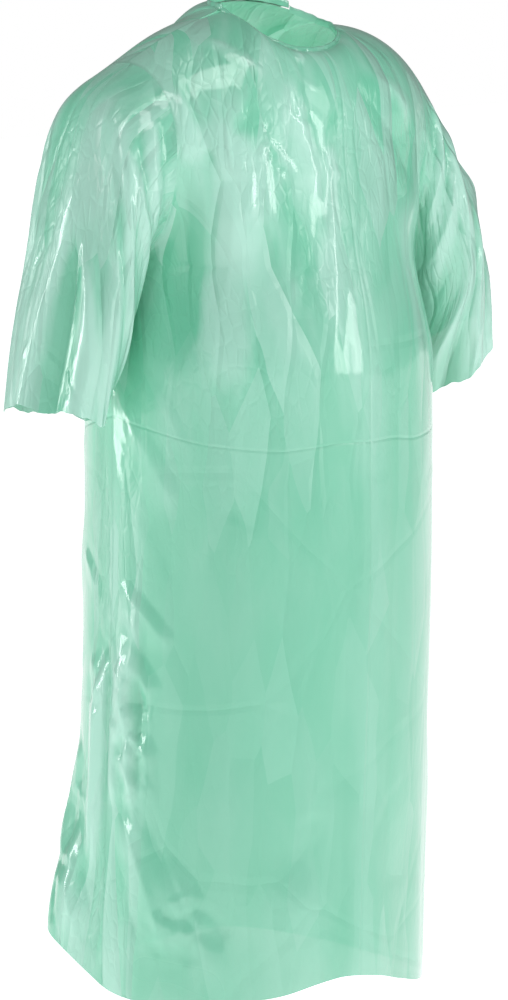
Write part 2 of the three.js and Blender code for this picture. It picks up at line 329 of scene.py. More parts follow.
@dataclass(frozen=True)
class SleeveShape:
    """One sleeve: its outer and under lines, as points out from the side seam and down.

    The outer line's points lie below the shoulder tip and the under line's below the armpit.
    """

    side: Side
    outer: tuple[tuple[float, float], ...]
    under: tuple[tuple[float, float], ...]
    weld_gap: float = 0.0
    curve_steps: int = 40
    front_swell: float = 0.011
    back_slack: float = 0.013

    def line(self, gown: GownShape, points: tuple[tuple[float, float], ...], top: float,
             along: float) -> Array:
        """Find a point of a line at a share of its length.

        Args:
            gown: The gown that the sleeve is welded to.
            points: Distance out from the side seam and distance below the top, in metres.
            top: The drop that the line starts at.
            along: Share of the line's length, from 0 to 1.

        Returns:
            The distance out from the middle, and the height.
        """
        knots = np.array([(gown.width_at(top + below) + out, -top - below)
                          for out, below in ((self.weld_gap, 0.0), *points)])
        padded = np.vstack([2 * knots[0] - knots[1], knots, 2 * knots[-1] - knots[-2]])
        t = np.linspace(0.0, 1.0, self.curve_steps, endpoint=False)[:, None]
        dense = []
        for a, b, c, d in zip(padded, padded[1:], padded[2:], padded[3:]):
            cubic = 2 * b + (c - a) * t + (2 * a - 5 * b + 4 * c - d) * t**2
            dense.append(0.5 * (cubic + (3 * b - a - 3 * c + d) * t**3))
        curve = np.vstack([*dense, knots[-1:]])
        steps = np.linalg.norm(np.diff(curve, axis=0), axis=1)
        length = np.concatenate([[0.0], np.cumsum(steps)])
        where = along * length[-1]
        return np.array([np.interp(where, length, curve[:, k]) for k in range(2)])

    def ring(self, gown: GownShape, turn: Array, along: float) -> Array:
        """Points of one ring of the sleeve; the turn starts at the top and passes the front first.

        Args:
            gown: The gown that the sleeve is welded to.
            turn: Angle round the sleeve.
            along: From 0 at the armhole to 1 at the cuff.

        Returns:
            One row of x, y and z for each point.
        """
        outer = self.line(gown, self.outer, gown.shoulder_drop, along)
        under = self.line(gown, self.under, gown.armpit_drop, along)
        high = (gown.chest_drop - gown.shoulder_drop) / (gown.armpit_drop - gown.shoulder_drop)
        middle = mix(outer, under, mix(high, 0.5, along))
        lift = np.cos(turn)[:, None]
        place = middle + np.where(lift > 0, outer - middle, under - middle) * np.abs(lift)
        depth = mix(gown.armhole_half_depth, gown.cuff_half_depth, along)
        swell = self.front_swell * bell(np.array(along), 0.5, 0.3) * smooth(np.array(along), 0.0, 0.25)
        slack = self.back_slack * smooth(np.array(along), 0.0, 0.25)
        depth = depth + np.where(np.sin(turn) > 0, swell, -slack)
        place[:, 1] += ragged(turn) * smooth(np.array(along), 0.7, 1.0)
        return np.stack([self.side.value * place[:, 0], -np.sin(turn) * depth, place[:, 1]], axis=-1)


@dataclass(frozen=True)
class Crease:
    """A crease along a line on one film, in metres across and down the film.

    One side of it falls away over near metres and the other over far metres. Both grow by spread
    from the line's start to its end. A soft crease is round in section and a sharp one is peaked.
    """

    line: tuple[tuple[float, float], ...]
    height: float
    near: float
    far: float
    spread: float = 1.0
    soft: bool = False
    rounding: float = 0.0006

    def raise_film(self, across: Array, down: Array) -> Array:
        """Find how far the crease lifts each point of the film.

        Args:
            across: Metres across the film.
            down: Metres down the film.

        Returns:
            The lift of each point, in metres.
        """
        points = np.array(self.line)
        steps = np.linalg.norm(np.diff(points, axis=0), axis=1)
        total = steps.sum()
        best = np.full(across.shape, np.inf)
        side = np.zeros(across.shape)
        share = np.zeros(across.shape)
        done = 0.0
        for start, end, length in zip(points, points[1:], steps):
            way = (end - start) / length
            dx, dy = across - start[0], down - start[1]
            along = np.clip(dx * way[0] + dy * way[1], 0.0, length)
            off_x, off_y = dx - along * way[0], dy - along * way[1]
            distance = np.hypot(off_x, off_y)
            closer = distance < best
            best = np.where(closer, distance, best)
            side = np.where(closer, way[0] * off_y - way[1] * off_x, side)
            share = np.where(closer, (done + along) / total, share)
            done += length
        width = np.where(side > 0, self.far, self.near) * mix(1.0, self.spread, share)
        fall = (np.hypot(best, self.rounding) - self.rounding) / width
        peak = np.clip(1.0 - fall, 0.0, 1.0)
        if self.soft:
            peak = peak * peak * (3.0 - 2.0 * peak)
        return self.height * peak * smooth(share, -0.02, 0.3) * (1.0 - smooth(share, 0.7, 1.02))


@dataclass(frozen=True)
class Crumple:
    """A patch of film with many chance creases.

    The patch has a middle and a half size, across and down. Directions are in degrees from
    straight down, and turn towards plus across.
    """

    seed: int
    count: int
    middle: tuple[float, float]
    half_size: tuple[float, float]
    direction: float
    scatter: float
    lengths: tuple[float, float]
    heights: tuple[float, float]
    widths: tuple[float, float]

    def creases(self) -> list[Crease]:
        """Lay out the patch's creases.

        Returns:
            The creases, the same on every run.
        """
        chance = np.random.default_rng(self.seed)
        out = []
        for _ in range(self.count):
            place = np.clip(chance.normal(0.0, 0.5, 2), -1.0, 1.0) * self.half_size + self.middle
            angle = math.radians(self.direction + chance.normal(0.0, self.scatter))
            length = mix(*self.lengths, chance.random() ** 2)
            height = mix(*self.heights, chance.random() ** 2) * chance.choice((-1.0, 1.0))
            near, far = chance.permutation([mix(*self.widths, share) for share in (0.0, chance.random())])
            bend = chance.normal(0.0, 0.12) * length
            way = np.array([math.sin(angle), math.cos(angle)])
            middle = place + bend * np.array([way[1], -way[0]])
            ends = (place - way * length / 2, middle, place + way * length / 2)
            out.append(Crease(tuple((float(p[0]), float(p[1])) for p in ends), height, near, far))
        return out


@dataclass
class Film:
    """One cut of film as a grid of points; rows run down it and columns across.

    across and down are metres on the film, weld is metres from a seam that shows, held is metres
    from any welded edge, and crinkle is how finely the film is crinkled, from 0 to 1. relief is how
    far its creases lift it, as a share of a tall crease; the material paints sheen on raised film by it.
    """

    name: str
    points: Array
    across: Array
    down: Array
    weld: Array
    held: Array
    crinkle: Array
    outward: float
    relief: Array | None = None

    def normals(self) -> Array:
        """Outward unit normals of the grid.

        Returns:
            One normal for each point.
        """
        du = np.gradient(self.points, axis=1)
        dv = np.gradient(self.points, axis=0)
        normal = np.cross(du, dv) * self.outward
        return normal / np.maximum(np.linalg.norm(normal, axis=-1, keepdims=True), 1e-12)

    def doubled(self) -> "Film":
        """The same film with twice the rows and columns, flat between the same points.

        Returns:
            The finer film.
        """
        fields = (self.points, self.across, self.down, self.weld, self.held, self.crinkle)
        grown = [doubled_grid(grid) for grid in fields]
        return Film(self.name, *grown, self.outward)

    def creased(self, creases: list[Crease], hold: float, share: float) -> None:
        """Lift the film along creases, and not at its welds.

        Args:
            creases: The creases to lay.
            hold: Metres from a weld at which the film is free to lift.
            share: How much of their height the creases keep.
        """
        lift = np.zeros(self.across.shape)
        for crease in creases:
            reach = max(crease.near, crease.far) * max(crease.spread, 1.0)
            line = np.array(crease.line)
            low, high = line.min(axis=0) - reach, line.max(axis=0) + reach
            near = (self.across > low[0]) & (self.across < high[0])
            near &= (self.down > low[1]) & (self.down < high[1])
            if near.any():
                lift[near] += crease.raise_film(self.across[near], self.down[near])
        lift *= smooth(self.held, 0.0, hold)
        self.relief = np.clip(lift / TALL_CREASE, -1.0, 1.0)
        low = smooth(self.down, 0.45, 0.70)
        self.points = self.points + self.normals() * (lift * mix(share, 1.0, low))[..., None]

    def made(self, finish: bpy.types.Material, normals: Array) -> bpy.types.Object:
        """Build the film as an object at the origin.

        Args:
            finish: The film's material.
            normals: The normal of each point.

        Returns:
            The finished object.
        """
        rows, columns = self.points.shape[:2]
        relief = np.zeros(self.across.shape) if self.relief is None else self.relief
        cloth = bmesh.new()
        bmesh.ops.create_grid(cloth, x_segments=columns - 1, y_segments=rows - 1, size=1.0)
        chart = cloth.verts.layers.float_vector.new("film_chart")
        weld_crinkle_relief = cloth.verts.layers.float_vector.new("film_weld_crinkle_relief")
        facing = cloth.verts.layers.float_vector.new("film_normal")
        for vertex in cloth.verts:
            i = round((vertex.co.x + 1.0) / 2.0 * (columns - 1))
            j = round((1.0 - vertex.co.y) / 2.0 * (rows - 1))
            vertex.co = self.points[j, i]
            vertex[chart] = (self.across[j, i], self.down[j, i], 0.0)
            # the creases' relief goes with the weld and crinkle, for the material's painted sheen on raised
            # film
            vertex[weld_crinkle_relief] = (self.weld[j, i], self.crinkle[j, i], relief[j, i])
            vertex[facing] = normals[j, i]
        bmesh.ops.remove_doubles(cloth, verts=cloth.verts, dist=MERGE_DISTANCE)
        if self.outward > 0:
            bmesh.ops.reverse_faces(cloth, faces=cloth.faces)
        for face in cloth.faces:
            face.smooth = True
        made = finished(self.name, cloth, finish)
        mesh = made.data
        mesh.normals_split_custom_set_from_vertices([v.vector for v in mesh.attributes["film_normal"].data])
        mesh.attributes.remove(mesh.attributes["film_normal"])
        return made


def finished(name: str, shape: bmesh.types.BMesh, finish: bpy.types.Material) -> bpy.types.Object:
    """Turn a built shape into an object of the scene.

    Args:
        name: The object's name.
        shape: The shape, which is freed.
        finish: Its material.

    Returns:
        The object, at the origin.
    """
    mesh = bpy.data.meshes.new(name)
    shape.to_mesh(mesh)
    shape.free()
    mesh.materials.append(finish)
    made = bpy.data.objects.new(name, mesh)
    bpy.context.scene.collection.objects.link(made)
    return made


def doubled_grid(grid: Array) -> Array:
    """Put a new row and column midway between each two.

    Args:
        grid: One value or point for each place in the grid.

    Returns:
        The grid with the rows and columns between filled in.
    """
    for axis in (0, 1):
        grid = grid.swapaxes(0, axis)
        out = np.empty((2 * len(grid) - 1, *grid.shape[1:]))
        out[0::2] = grid
        out[1::2] = (grid[1:] + grid[:-1]) / 2
        grid = out.swapaxes(0, axis)
    return grid


class Net:
    """The films as one net of points, in which films share the points of their welds."""

    def __init__(self, films: dict[str, Film]) -> None:
        """Find the shared points and the threads between neighbours.

        Args:
            films: The films to join, by name.
        """
        self.films = films
        places = np.concatenate([film.points.reshape(-1, 3) for film in films.values()])
        keys = np.round(places / WELD_REACH).astype(np.int64)
        _, first, ids = np.unique(keys, axis=0, return_index=True, return_inverse=True)
        self.points = places[first]
        ids = ids.reshape(-1)
        self.ids: dict[str, Array] = {}
        threads = []
        for name, film in films.items():
            size = film.across.size
            grid, ids = ids[:size].reshape(film.across.shape), ids[size:]
            self.ids[name] = grid
            threads.append(np.stack([grid[1:].ravel(), grid[:-1].ravel()], axis=1))
            threads.append(np.stack([grid[:, 1:].ravel(), grid[:, :-1].ravel()], axis=1))
        self.threads = np.unique(np.sort(np.concatenate(threads), axis=1), axis=0)

    def mean_of_neighbours(self, values: Array) -> Array:
        """For each point, the mean of a vector over the points next to it.

        Args:
            values: One vector for each point of the net.

        Returns:
            One mean for each point.
        """
        a, b = self.threads.T
        size = len(self.points)
        count = np.bincount(np.concatenate([a, b]), minlength=size)
        total = [np.bincount(a, values[b, k], size) + np.bincount(b, values[a, k], size) for k in range(3)]
        return np.stack(total, axis=1) / count[:, None]

    def eased(self, share: Array, times: int) -> None:
        """Draw points towards their neighbours.

        Args:
            share: How far each point goes each time, from 0 to 1.
            times: How often.
        """
        for _ in range(times):
            self.points = mix(self.points, self.mean_of_neighbours(self.points), share[:, None])

    def hand_back(self) -> None:
        """Give each film its points from the net."""
        for name, film in self.films.items():
            film.points = self.points[self.ids[name]]

    def normals(self) -> dict[str, Array]:
        """Normals of each film that agree at the welds.

        Returns:
            One grid of normals for each film, by name.
        """
        total = np.zeros_like(self.points)
        for name, film in self.films.items():
            np.add.at(total, self.ids[name].ravel(), film.normals().reshape(-1, 3))
        total /= np.maximum(np.linalg.norm(total, axis=1, keepdims=True), 1e-12)
        return {name: total[grid] for name, grid in self.ids.items()}


@dataclass
class Garment:
    """The five cuts of film, as grids that meet point to point at their welds."""

    shape: GownShape
    quarter_rows: int = 26
    lower_rows: int = 118
    shoulder_columns: int = 28
    neck_columns: int = 40
    sleeve_rows: int = 52

    def armhole_shares(self) -> Array:
        """Shares of the way from the chest line to the armpit, denser towards the armpit."""
        return 1.0 - (1.0 - np.arange(self.quarter_rows) / self.quarter_rows) ** 1.5

    def rows(self, share: Array, facing: Facing) -> Array:
        """Points of a panel, row by row from the top edge to the hem.

        Args:
            share: Position across the panel, from -1 at the right seam to 1 at the left seam.
            facing: Front or back.

        Returns:
            A grid of points.
        """
        shape = self.shape
        grid = []
        for j in range(self.quarter_rows):
            grid.append(shape.yoke(share, j / self.quarter_rows * QUARTER, facing))
        for share_down in self.armhole_shares():
            drop = mix(shape.chest_drop, shape.armpit_drop, share_down)
            grid.append(shape.section(share, drop + 0 * share, facing))
        low = shape.hem_drop(share, facing)
        for j in range(self.lower_rows + 1):
            drop = mix(shape.armpit_drop, low, j / self.lower_rows)
            grid.append(shape.section(share, drop, facing))
        return np.array(grid)

    def panel(self, name: str, stops: tuple[tuple[float, int], ...], facing: Facing) -> Film:
        """One body panel.

        Args:
            name: The film's name.
            stops: Shares across the panel, each with the number of columns that leads up to it.
            facing: Front or back.

        Returns:
            The panel as a grid, without creases.
        """
        runs = [np.linspace(low, high, count + 1)[1:] for (low, _), (high, count) in zip(stops, stops[1:])]
        share = np.concatenate([[stops[0][0]], *runs])
        points = self.rows(share, facing)
        outward = 1.0 if facing is Facing.FRONT else -1.0
        if name == "right_back_film":
            height = self.shape.lap_height(share)
            flat = Film(name, points, *(points[..., 0],) * 5, outward=-outward)
            points = points + flat.normals() * height[None, :, None]
        down = arc_along(points)
        down += self.shape.chest_drop - down[self.quarter_rows]
        across = arc_along(points.swapaxes(0, 1)).swapaxes(0, 1)
        centre = int(np.argmin(np.abs(share)))
        across = across - across[:, centre : centre + 1]
        held = self.edge_distance(points, across, share)
        weld = held.copy()
        weld[self.quarter_rows : 2 * self.quarter_rows] = self.shape.half_width
        crinkle = 1.0 - 0.80 * smooth(down + 0.10 * np.sin(9.0 * across), 0.12, 0.66)
        crushed = smooth(np.abs(across), 0.25, 0.30) * smooth(down, 0.40, 0.70)
        crinkle = np.maximum(crinkle, 0.8 * crushed) if self.crushed_side(name, facing) else crinkle
        return Film(name, points, across, down, weld, held, crinkle, -outward)

    @staticmethod
    def crushed_side(name: str, facing: Facing) -> bool:
        """Whether the film near the hem is crushed where this panel meets the wearer's right side."""
        return facing is Facing.FRONT or name.startswith("right")

    @staticmethod
    def edge_distance(points: Array, across: Array, share: Array) -> Array:
        """Metres from each point of a panel to its top edge or an edge that is welded.

        Args:
            points: The grid of points.
            across: Distance across the panel at each point.
            share: Position across the panel, from -1 at the right seam to 1 at the left seam.

        Returns:
            Metres, for each point.
        """
        edge = arc_along(points)
        if share[0] < -0.99:
            edge = np.minimum(edge, across - across[:, :1])
        if share[-1] > 0.99:
            edge = np.minimum(edge, across[:, -1:] - across)
        return edge

    def sleeve(self, name: str, sleeve: SleeveShape) -> Film:
        """One sleeve, as a grid that starts and ends at the underarm.

        Args:
            name: Name of the film.
            sleeve: Shape of the sleeve.

        Returns:
            The sleeve.
        """
        upper = np.arange(self.quarter_rows) / self.quarter_rows * QUARTER
        lower = QUARTER + np.arcsin(self.armhole_shares())
        half = np.concatenate([upper, lower, [math.pi]])
        turn = np.concatenate([-half[:0:-1], half])
        rings = [sleeve.ring(self.shape, turn, j / self.sleeve_rows) for j in range(self.sleeve_rows + 1)]
        points = np.array(rings)
        down = arc_along(points)
        across = arc_along(points.swapaxes(0, 1)).swapaxes(0, 1)
        across = across - across[:, 2 * self.quarter_rows, None]
        side = float(sleeve.side.value)
        apart = np.full(down.shape, self.shape.half_width)
        return Film(name, points, across, down, apart, down.copy(), np.ones(down.shape), side)

    def made(self) -> dict[str, Film]:
        """All five cuts of film, by name.

        Returns:
            The films, not yet joined.
        """
        shape, neck = self.shape, self.shape.neck_share
        shoulder, middle = self.shoulder_columns, self.neck_columns
        part = middle * 3 // 4
        films = (
            self.panel("front_film", ((-1.0, 0), (-neck, shoulder), (neck, middle), (1.0, shoulder)),
                       Facing.FRONT),
            self.panel("right_back_film", ((-1.0, 0), (-neck, shoulder), (shape.outer_lap, part)),
                       Facing.BACK),
            self.panel("left_back_film", ((shape.inner_lap, 0), (neck, part), (1.0, shoulder)),
                       Facing.BACK),
            self.sleeve("right_sleeve_film", RIGHT_SLEEVE),
            self.sleeve("left_sleeve_film", LEFT_SLEEVE),
        )
        return {film.name: film for film in films}


def ease_armholes(net: Net, shape: GownShape) -> None:
    """Let the film run on smoothly from the body into the sleeves.

    Args:
        net: The joined films, changed in place.
        shape: The gown that they follow.
    """
    x, z = np.abs(net.points[:, 0]), net.points[:, 2]
    above = 1.0 - smooth(-z, shape.armpit_drop, shape.armpit_drop + 0.10)
    near = bell(x, shape.shoulder_half, 0.045) * above
    near = np.maximum(near, bell(-z, shape.armpit_drop, 0.035))
    net.eased(0.9 * np.clip(near, 0.0, 1.0), 70)


def arc_along(points: Array) -> Array:
    """Metres along each column of a grid from its first row."""
    steps = np.linalg.norm(np.diff(points, axis=0), axis=-1)
    return np.concatenate([np.zeros((1, points.shape[1])), np.cumsum(steps, axis=0)])


def strip(name: str, points: Array, outward: float, crinkle: float = 0.5) -> Film:
    """Lay a narrow strip of film on a grid of points.

    Args:
        name: The strip's name.
        points: Its points, in rows down it.
        outward: The sign that makes its normals point outward.
        crinkle: How finely it is crinkled, from 0 to 1.

    Returns:
        The strip.
    """
    down = arc_along(points)
    across = arc_along(points.swapaxes(0, 1)).swapaxes(0, 1)
    across = across - across[:, across.shape[1] // 2, None]
    far = np.ones(down.shape)
    return Film(name, points, across, down, far, far, crinkle * far, outward)


@dataclass(frozen=True)
class Binding:
    """The narrow band that is folded over the edge of the neck opening.

    Its profile's points are outward from the edge and up from it, from the outer face to the inner.
    """

    shape: GownShape
    profile: tuple[tuple[float, float], ...] = (
        (0.0013, -0.0040), (0.0015, -0.0008), (0.0011, 0.0022), (0.0002, 0.0042), (-0.0012, 0.0048),
        (-0.0025, 0.0040), (-0.0031, 0.0014), (-0.0032, -0.0030),
    )
    end_gap: float = 0.012
    columns: int = 420
    gather: float = 0.00022
    gathers: tuple[float, float] = (13.0, 29.0)

    def made(self) -> Film:
        """Lay the band all round the opening.

        Returns:
            The band.
        """
        shape = self.shape
        lap = shape.outer_lap / shape.neck_share * QUARTER
        reach = math.pi - self.end_gap
        angle = np.linspace(lap - reach, lap + reach, self.columns)
        edge = shape.neck(angle)
        centre = np.array([0.0, shape.neck_centre, 0.0])
        outward = (edge - centre) * (1.0, 1.0, 0.0)
        outward /= np.linalg.norm(outward, axis=1, keepdims=True)
        share = (angle - math.pi) / QUARTER * shape.neck_share
        raised = np.where(angle > QUARTER, shape.lap_height(share), 0.0)
        wave = sum(np.sin(count * angle + count) for count in self.gathers) * self.gather
        rows = []
        for out, up in self.profile:
            row = edge + outward * (out + wave * (1.0 + up / 0.005))[:, None]
            row[:, 2] += up + raised + wave
            rows.append(row)
        return strip("neck_binding_film", np.array(rows), -1.0)

    @property
    def flat(self) -> tuple[float, float]:
        """Length and width of the band before it is folded."""
        steps = np.linalg.norm(np.diff(np.array(self.profile), axis=0), axis=1)
        return 0.490, float(steps.sum())


@dataclass(frozen=True)
class NeckTie:
    """A ribbon that hangs from the back of the neck, through the knot.

    weld, knot and end are shares across the back of its middle line, and rest is how high the film
    that it is welded to stands off the gown's surface.
    """

    name: str
    shape: GownShape
    weld: float
    knot: float
    end: float
    rest: float
    width: float = 0.075
    top_row: float = 0.12
    rows_long: float = 1.6
    knot_place: float = 0.3
    stand: float = 0.0094
    pinch: float = 0.55
    pleat: float = 0.0010
    flutter: float = 0.0016
    steps: int = 90
    columns: int = 13
    flat: tuple[float, float] = (0.0146, 0.300)

    def made(self) -> Film:
        """Lay the ribbon over the back.

        Returns:
            The ribbon.
        """
        v, u = np.meshgrid(np.linspace(0.0, 1.0, self.steps), np.linspace(-0.5, 0.5, self.columns),
                           indexing="ij")
        near = bell(v, self.knot_place, 0.07)
        middle = np.interp(v, (0.0, self.knot_place, 1.0), (self.weld, self.knot, self.end))
        share = middle + u * self.width * (1.0 - self.pinch * near)
        surface = strip(self.name, self.shape.back(share, self.top_row + self.rows_long * v), 1.0)
        height = mix(self.rest, self.stand, smooth(v, 0.0, 0.10))
        height = height + self.pleat * np.cos(u * 5 * math.pi) * bell(v, self.knot_place, 0.16)
        height = height + self.flutter * smooth(v, 0.45, 1.0) * np.sin(v * 17.0 + u * 3.0)
        return strip(self.name, surface.points + surface.normals() * height[..., None], 1.0, 0.8)


@dataclass(frozen=True)
class Knot:
    """The wrap of ribbon that ties both neck ties together."""

    shape: GownShape
    share: float = 0.318
    row: float = 0.60
    stand: float = 0.0105
    half_width: float = 0.0095
    half_depth: float = 0.0058
    length: float = 0.017
    tilt: float = 0.35
    folds: tuple[float, float] = (9.0, 14.0)
    steps: int = 17
    columns: int = 97

    def made(self) -> Film:
        """Wind the ribbon round the ties.

        Returns:
            The knot.
        """
        step = 0.01
        shares = self.share + step * np.array([[-1.0, 1.0], [-1.0, 1.0]])
        rows = self.row + step * np.array([[-1.0, -1.0], [1.0, 1.0]])
        around = self.shape.back(shares, rows)
        across, down = around[0, 1] - around[0, 0], around[1, 0] - around[0, 0]
        across, down = across / np.linalg.norm(across), down / np.linalg.norm(down)
        out = np.cross(down, across)
        out *= np.sign(out[1]) / np.linalg.norm(out)
        middle = around.mean(axis=(0, 1)) + out * self.stand
        v, turn = np.meshgrid(np.linspace(-1.0, 1.0, self.steps),
                              np.linspace(0.0, 2 * math.pi, self.columns), indexing="ij")
        wrinkle = sum(np.sin(count * (v * 1.3 + 0.4) + 2 * np.sin(turn)) for count in self.folds)
        radius = (0.55 + 0.45 * np.sqrt(1.0 - 0.85 * v**2)) * (1.0 + 0.045 * wrinkle)
        along = (v + self.tilt * np.sin(turn) + 0.10 * np.sin(3 * turn)) * self.length / 2
        parts = (
            (np.cos(turn) * radius * self.half_width, across),
            (np.sin(turn) * radius * self.half_depth, out),
            (along, down),
        )
        points = middle + sum(amount[..., None] * way for amount, way in parts)
        film = strip("neck_knot_film", points, 1.0, 0.8)
        away = np.sum(film.normals() * (points - middle))
        film.outward = float(np.sign(away))
        return film


@dataclass(frozen=True)
class WaistTie:
    """A ribbon that is welded on the back at the waist and hangs plumb.

    start is its nearer edge's distance from the middle, rest how high the film that it is welded to
    stands off the gown's surface, and reach how far its weld lies towards the middle.
    """

    name: str
    body: str
    shape: GownShape
    start: float
    rest: float
    reach: float
    width: float = 0.025
    length: float = 0.300
    drop: float = 0.415
    stand: float = 0.0087
    bend: float = 0.045
    curl: float = 0.0022
    steps: int = 100
    columns: int = 13

    def made(self) -> Film:
        """Hang the ribbon.

        Returns:
            The ribbon.
        """
        shape = self.shape
        v, u = np.meshgrid(np.linspace(0.0, 1.0, self.steps), np.linspace(0.0, 1.0, self.columns),
                           indexing="ij")
        drop = self.drop + self.length * v
        free = smooth(v * self.length, 0.004, self.bend)
        x = self.start + self.width * u - self.reach * (1.0 - free)
        share = np.arcsin(x / shape.half_width) / QUARTER
        lying = shape.section(share, drop, Facing.BACK)
        hanging_share = math.asin(self.start / shape.half_width) / QUARTER
        end = np.array(self.drop + self.length)
        back = float(shape.section(np.array(hanging_share), end, Facing.BACK)[1])
        curl = self.curl * (np.cos((u - 0.5) * math.pi) - 0.5)
        sway = 0.0016 * np.sin(v * 13.0 + u) + 0.0010 * np.sin(v * 31.0 - 2.0 * u)
        y = mix(lying[..., 1] + self.rest, back + self.stand + curl + sway, free)
        twist = 0.0016 * np.sin(v * 9.0) * free
        return strip(self.name, np.stack([x + twist, y, -drop], axis=-1), 1.0, 0.5)

    def follow(self, piece: bpy.types.Object) -> None:
        """Bake the ribbon's placement into its mesh."""
        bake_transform(piece)


RIGHT_SLEEVE = SleeveShape(
    Side.RIGHT,
    outer=((0.036, 0.017), (0.068, 0.038), (0.086, 0.068), (0.100, 0.112), (0.118, 0.180),
           (0.134, 0.268), (0.140, 0.408)),
    under=((0.007, 0.035), (0.009, 0.070), (0.012, 0.110), (0.026, 0.150), (0.043, 0.192)),
)
LEFT_SLEEVE = SleeveShape(
    Side.LEFT,
    outer=((0.020, 0.023), (0.043, 0.073), (0.063, 0.120), (0.095, 0.155), (0.117, 0.189),
           (0.124, 0.255), (0.117, 0.353)),
    under=((0.006, 0.035), (0.008, 0.070), (0.009, 0.110), (0.013, 0.155), (0.018, 0.198)),
)


def crease(*line: tuple[float, float], height: float, near: float, far: float, spread: float = 1.0,
           soft: bool = False) -> Crease:
    """Lay one crease, with all sizes in centimetres except its height, in millimetres."""
    points = tuple((x / 100, y / 100) for x, y in line)
    return Crease(points, height / 1000, near / 100, far / 100, spread, soft)


# Creases of the front, in centimetres from its middle line and down from the shoulders
FRONT_CREASES = (
    # folds pressed into the flat pack: down the middle, beside it and across the waist
    crease((-1.9, 3.0), (-1.8, 7.5), (-1.0, 12.5), (0.0, 22.0), (0.2, 50.0), (0.3, 80.0), (1.5, 140.0),
           height=5.0, near=5.0, far=2.4),
    crease((6.2, 38.0), (6.4, 60.0), (6.8, 84.0), height=-2.0, near=3.0, far=3.0),
    crease((-31.4, 49.0), (-27.0, 54.0), (-23.0, 60.0), height=3.6, near=1.8, far=3.2),
    crease((-31.6, 70.0), (-28.0, 72.5), (-24.0, 76.0), height=4.2, near=1.6, far=3.4),
    # the crushed side near the hem
    crease((-31.4, 76.0), (-29.8, 88.0), (-28.4, 98.0), height=13.0, near=3.8, far=2.2),
    crease((-28.6, 78.0), (-28.0, 97.0), height=-7.0, near=1.4, far=2.6),
    crease((-30.5, 96.0), (-27.0, 104.0), (-23.0, 114.0), height=7.0, near=3.0, far=2.6, spread=1.5),
    crease((-24.0, 100.0), (-20.0, 108.0), (-17.5, 117.0), height=4.4, near=2.0, far=3.2, spread=1.4),
    # long folds that run down from the neck over the chest
    crease((-7.0, 4.4), (-6.4, 8.4), (-4.8, 12.5), (-3.7, 17.4), (-4.7, 24.0),
           height=7.0, near=1.2, far=2.8, spread=1.4),
    crease((-1.6, 9.0), (-1.4, 17.3), (-2.0, 25.0), (-2.9, 32.0), (-4.6, 41.0),
           height=6.0, near=1.2, far=2.2, spread=1.3),
    crease((-11.2, 11.0), (-10.6, 16.6), (-10.7, 26.0), height=4.0, near=1.0, far=2.8, spread=1.4),
    crease((-15.6, 4.5), (-15.2, 9.0), (-14.4, 18.4), (-15.9, 29.0), (-18.3, 38.0), (-19.7, 48.0),
           height=9.0, near=3.2, far=2.4, spread=1.5),
    crease((-11.1, 8.5), (-12.6, 10.6), (-13.9, 12.4), height=-5.0, near=2.2, far=1.4),
    crease((-13.7, 12.0), (-13.5, 16.6), (-12.5, 17.4), (-13.1, 24.5), height=4.0, near=0.8, far=1.6),
    crease((-16.0, 9.5), (-15.0, 12.9), (-15.1, 18.0), height=4.0, near=0.8, far=1.8),
    crease((-13.2, 22.0), (-14.6, 33.0), (-16.0, 44.0), height=1.6, near=1.2, far=3.4, spread=1.5),
    crease((-7.6, 22.0), (-7.2, 27.3), (-9.4, 35.0), (-8.2, 43.0), height=4.0, near=1.0, far=3.0,
           spread=1.4),
    crease((2.0, 5.6), (6.0, 9.6), (10.6, 14.6), (15.0, 22.0), height=-8.0, near=3.4, far=1.8,
           spread=1.5),
    crease((7.4, 5.8), (11.0, 8.6), (14.2, 12.0), height=4.0, near=1.4, far=2.4, spread=1.3),
    crease((5.2, 11.0), (6.4, 17.5), (6.4, 26.0), height=4.0, near=1.2, far=2.4, spread=1.6),
    crease((11.0, 20.0), (12.0, 32.0), (11.0, 44.0), height=5.0, near=3.0, far=3.0, spread=1.3),
    crease((-17.5, -2.0), (-13.0, 2.0), (-9.0, 5.6), height=3.6, near=0.8, far=1.4),
    # the pull from the armpit
    crease((-20.6, 5.0), (-19.4, 10.6), (-17.4, 16.0), height=7.0, near=1.8, far=2.6, spread=1.6),
    crease((-19.6, 14.0), (-20.6, 24.0), (-21.3, 30.0), (-22.6, 37.0), (-26.4, 43.0),
           height=-13.0, near=2.0, far=3.4, spread=1.2),
    crease((20.5, 15.0), (21.5, 28.0), (20.0, 42.0), height=-9.0, near=3.4, far=3.0, spread=1.3),
    # loose film at the hem
    crease((-8.0, 98.0), (-9.0, 124.0), height=6.0, near=7.0, far=7.0, soft=True),
    crease((10.0, 92.0), (12.0, 126.0), height=-5.0, near=7.0, far=7.0, soft=True),
    crease((23.0, 84.0), (25.0, 126.0), height=6.0, near=6.0, far=6.0, soft=True),
)

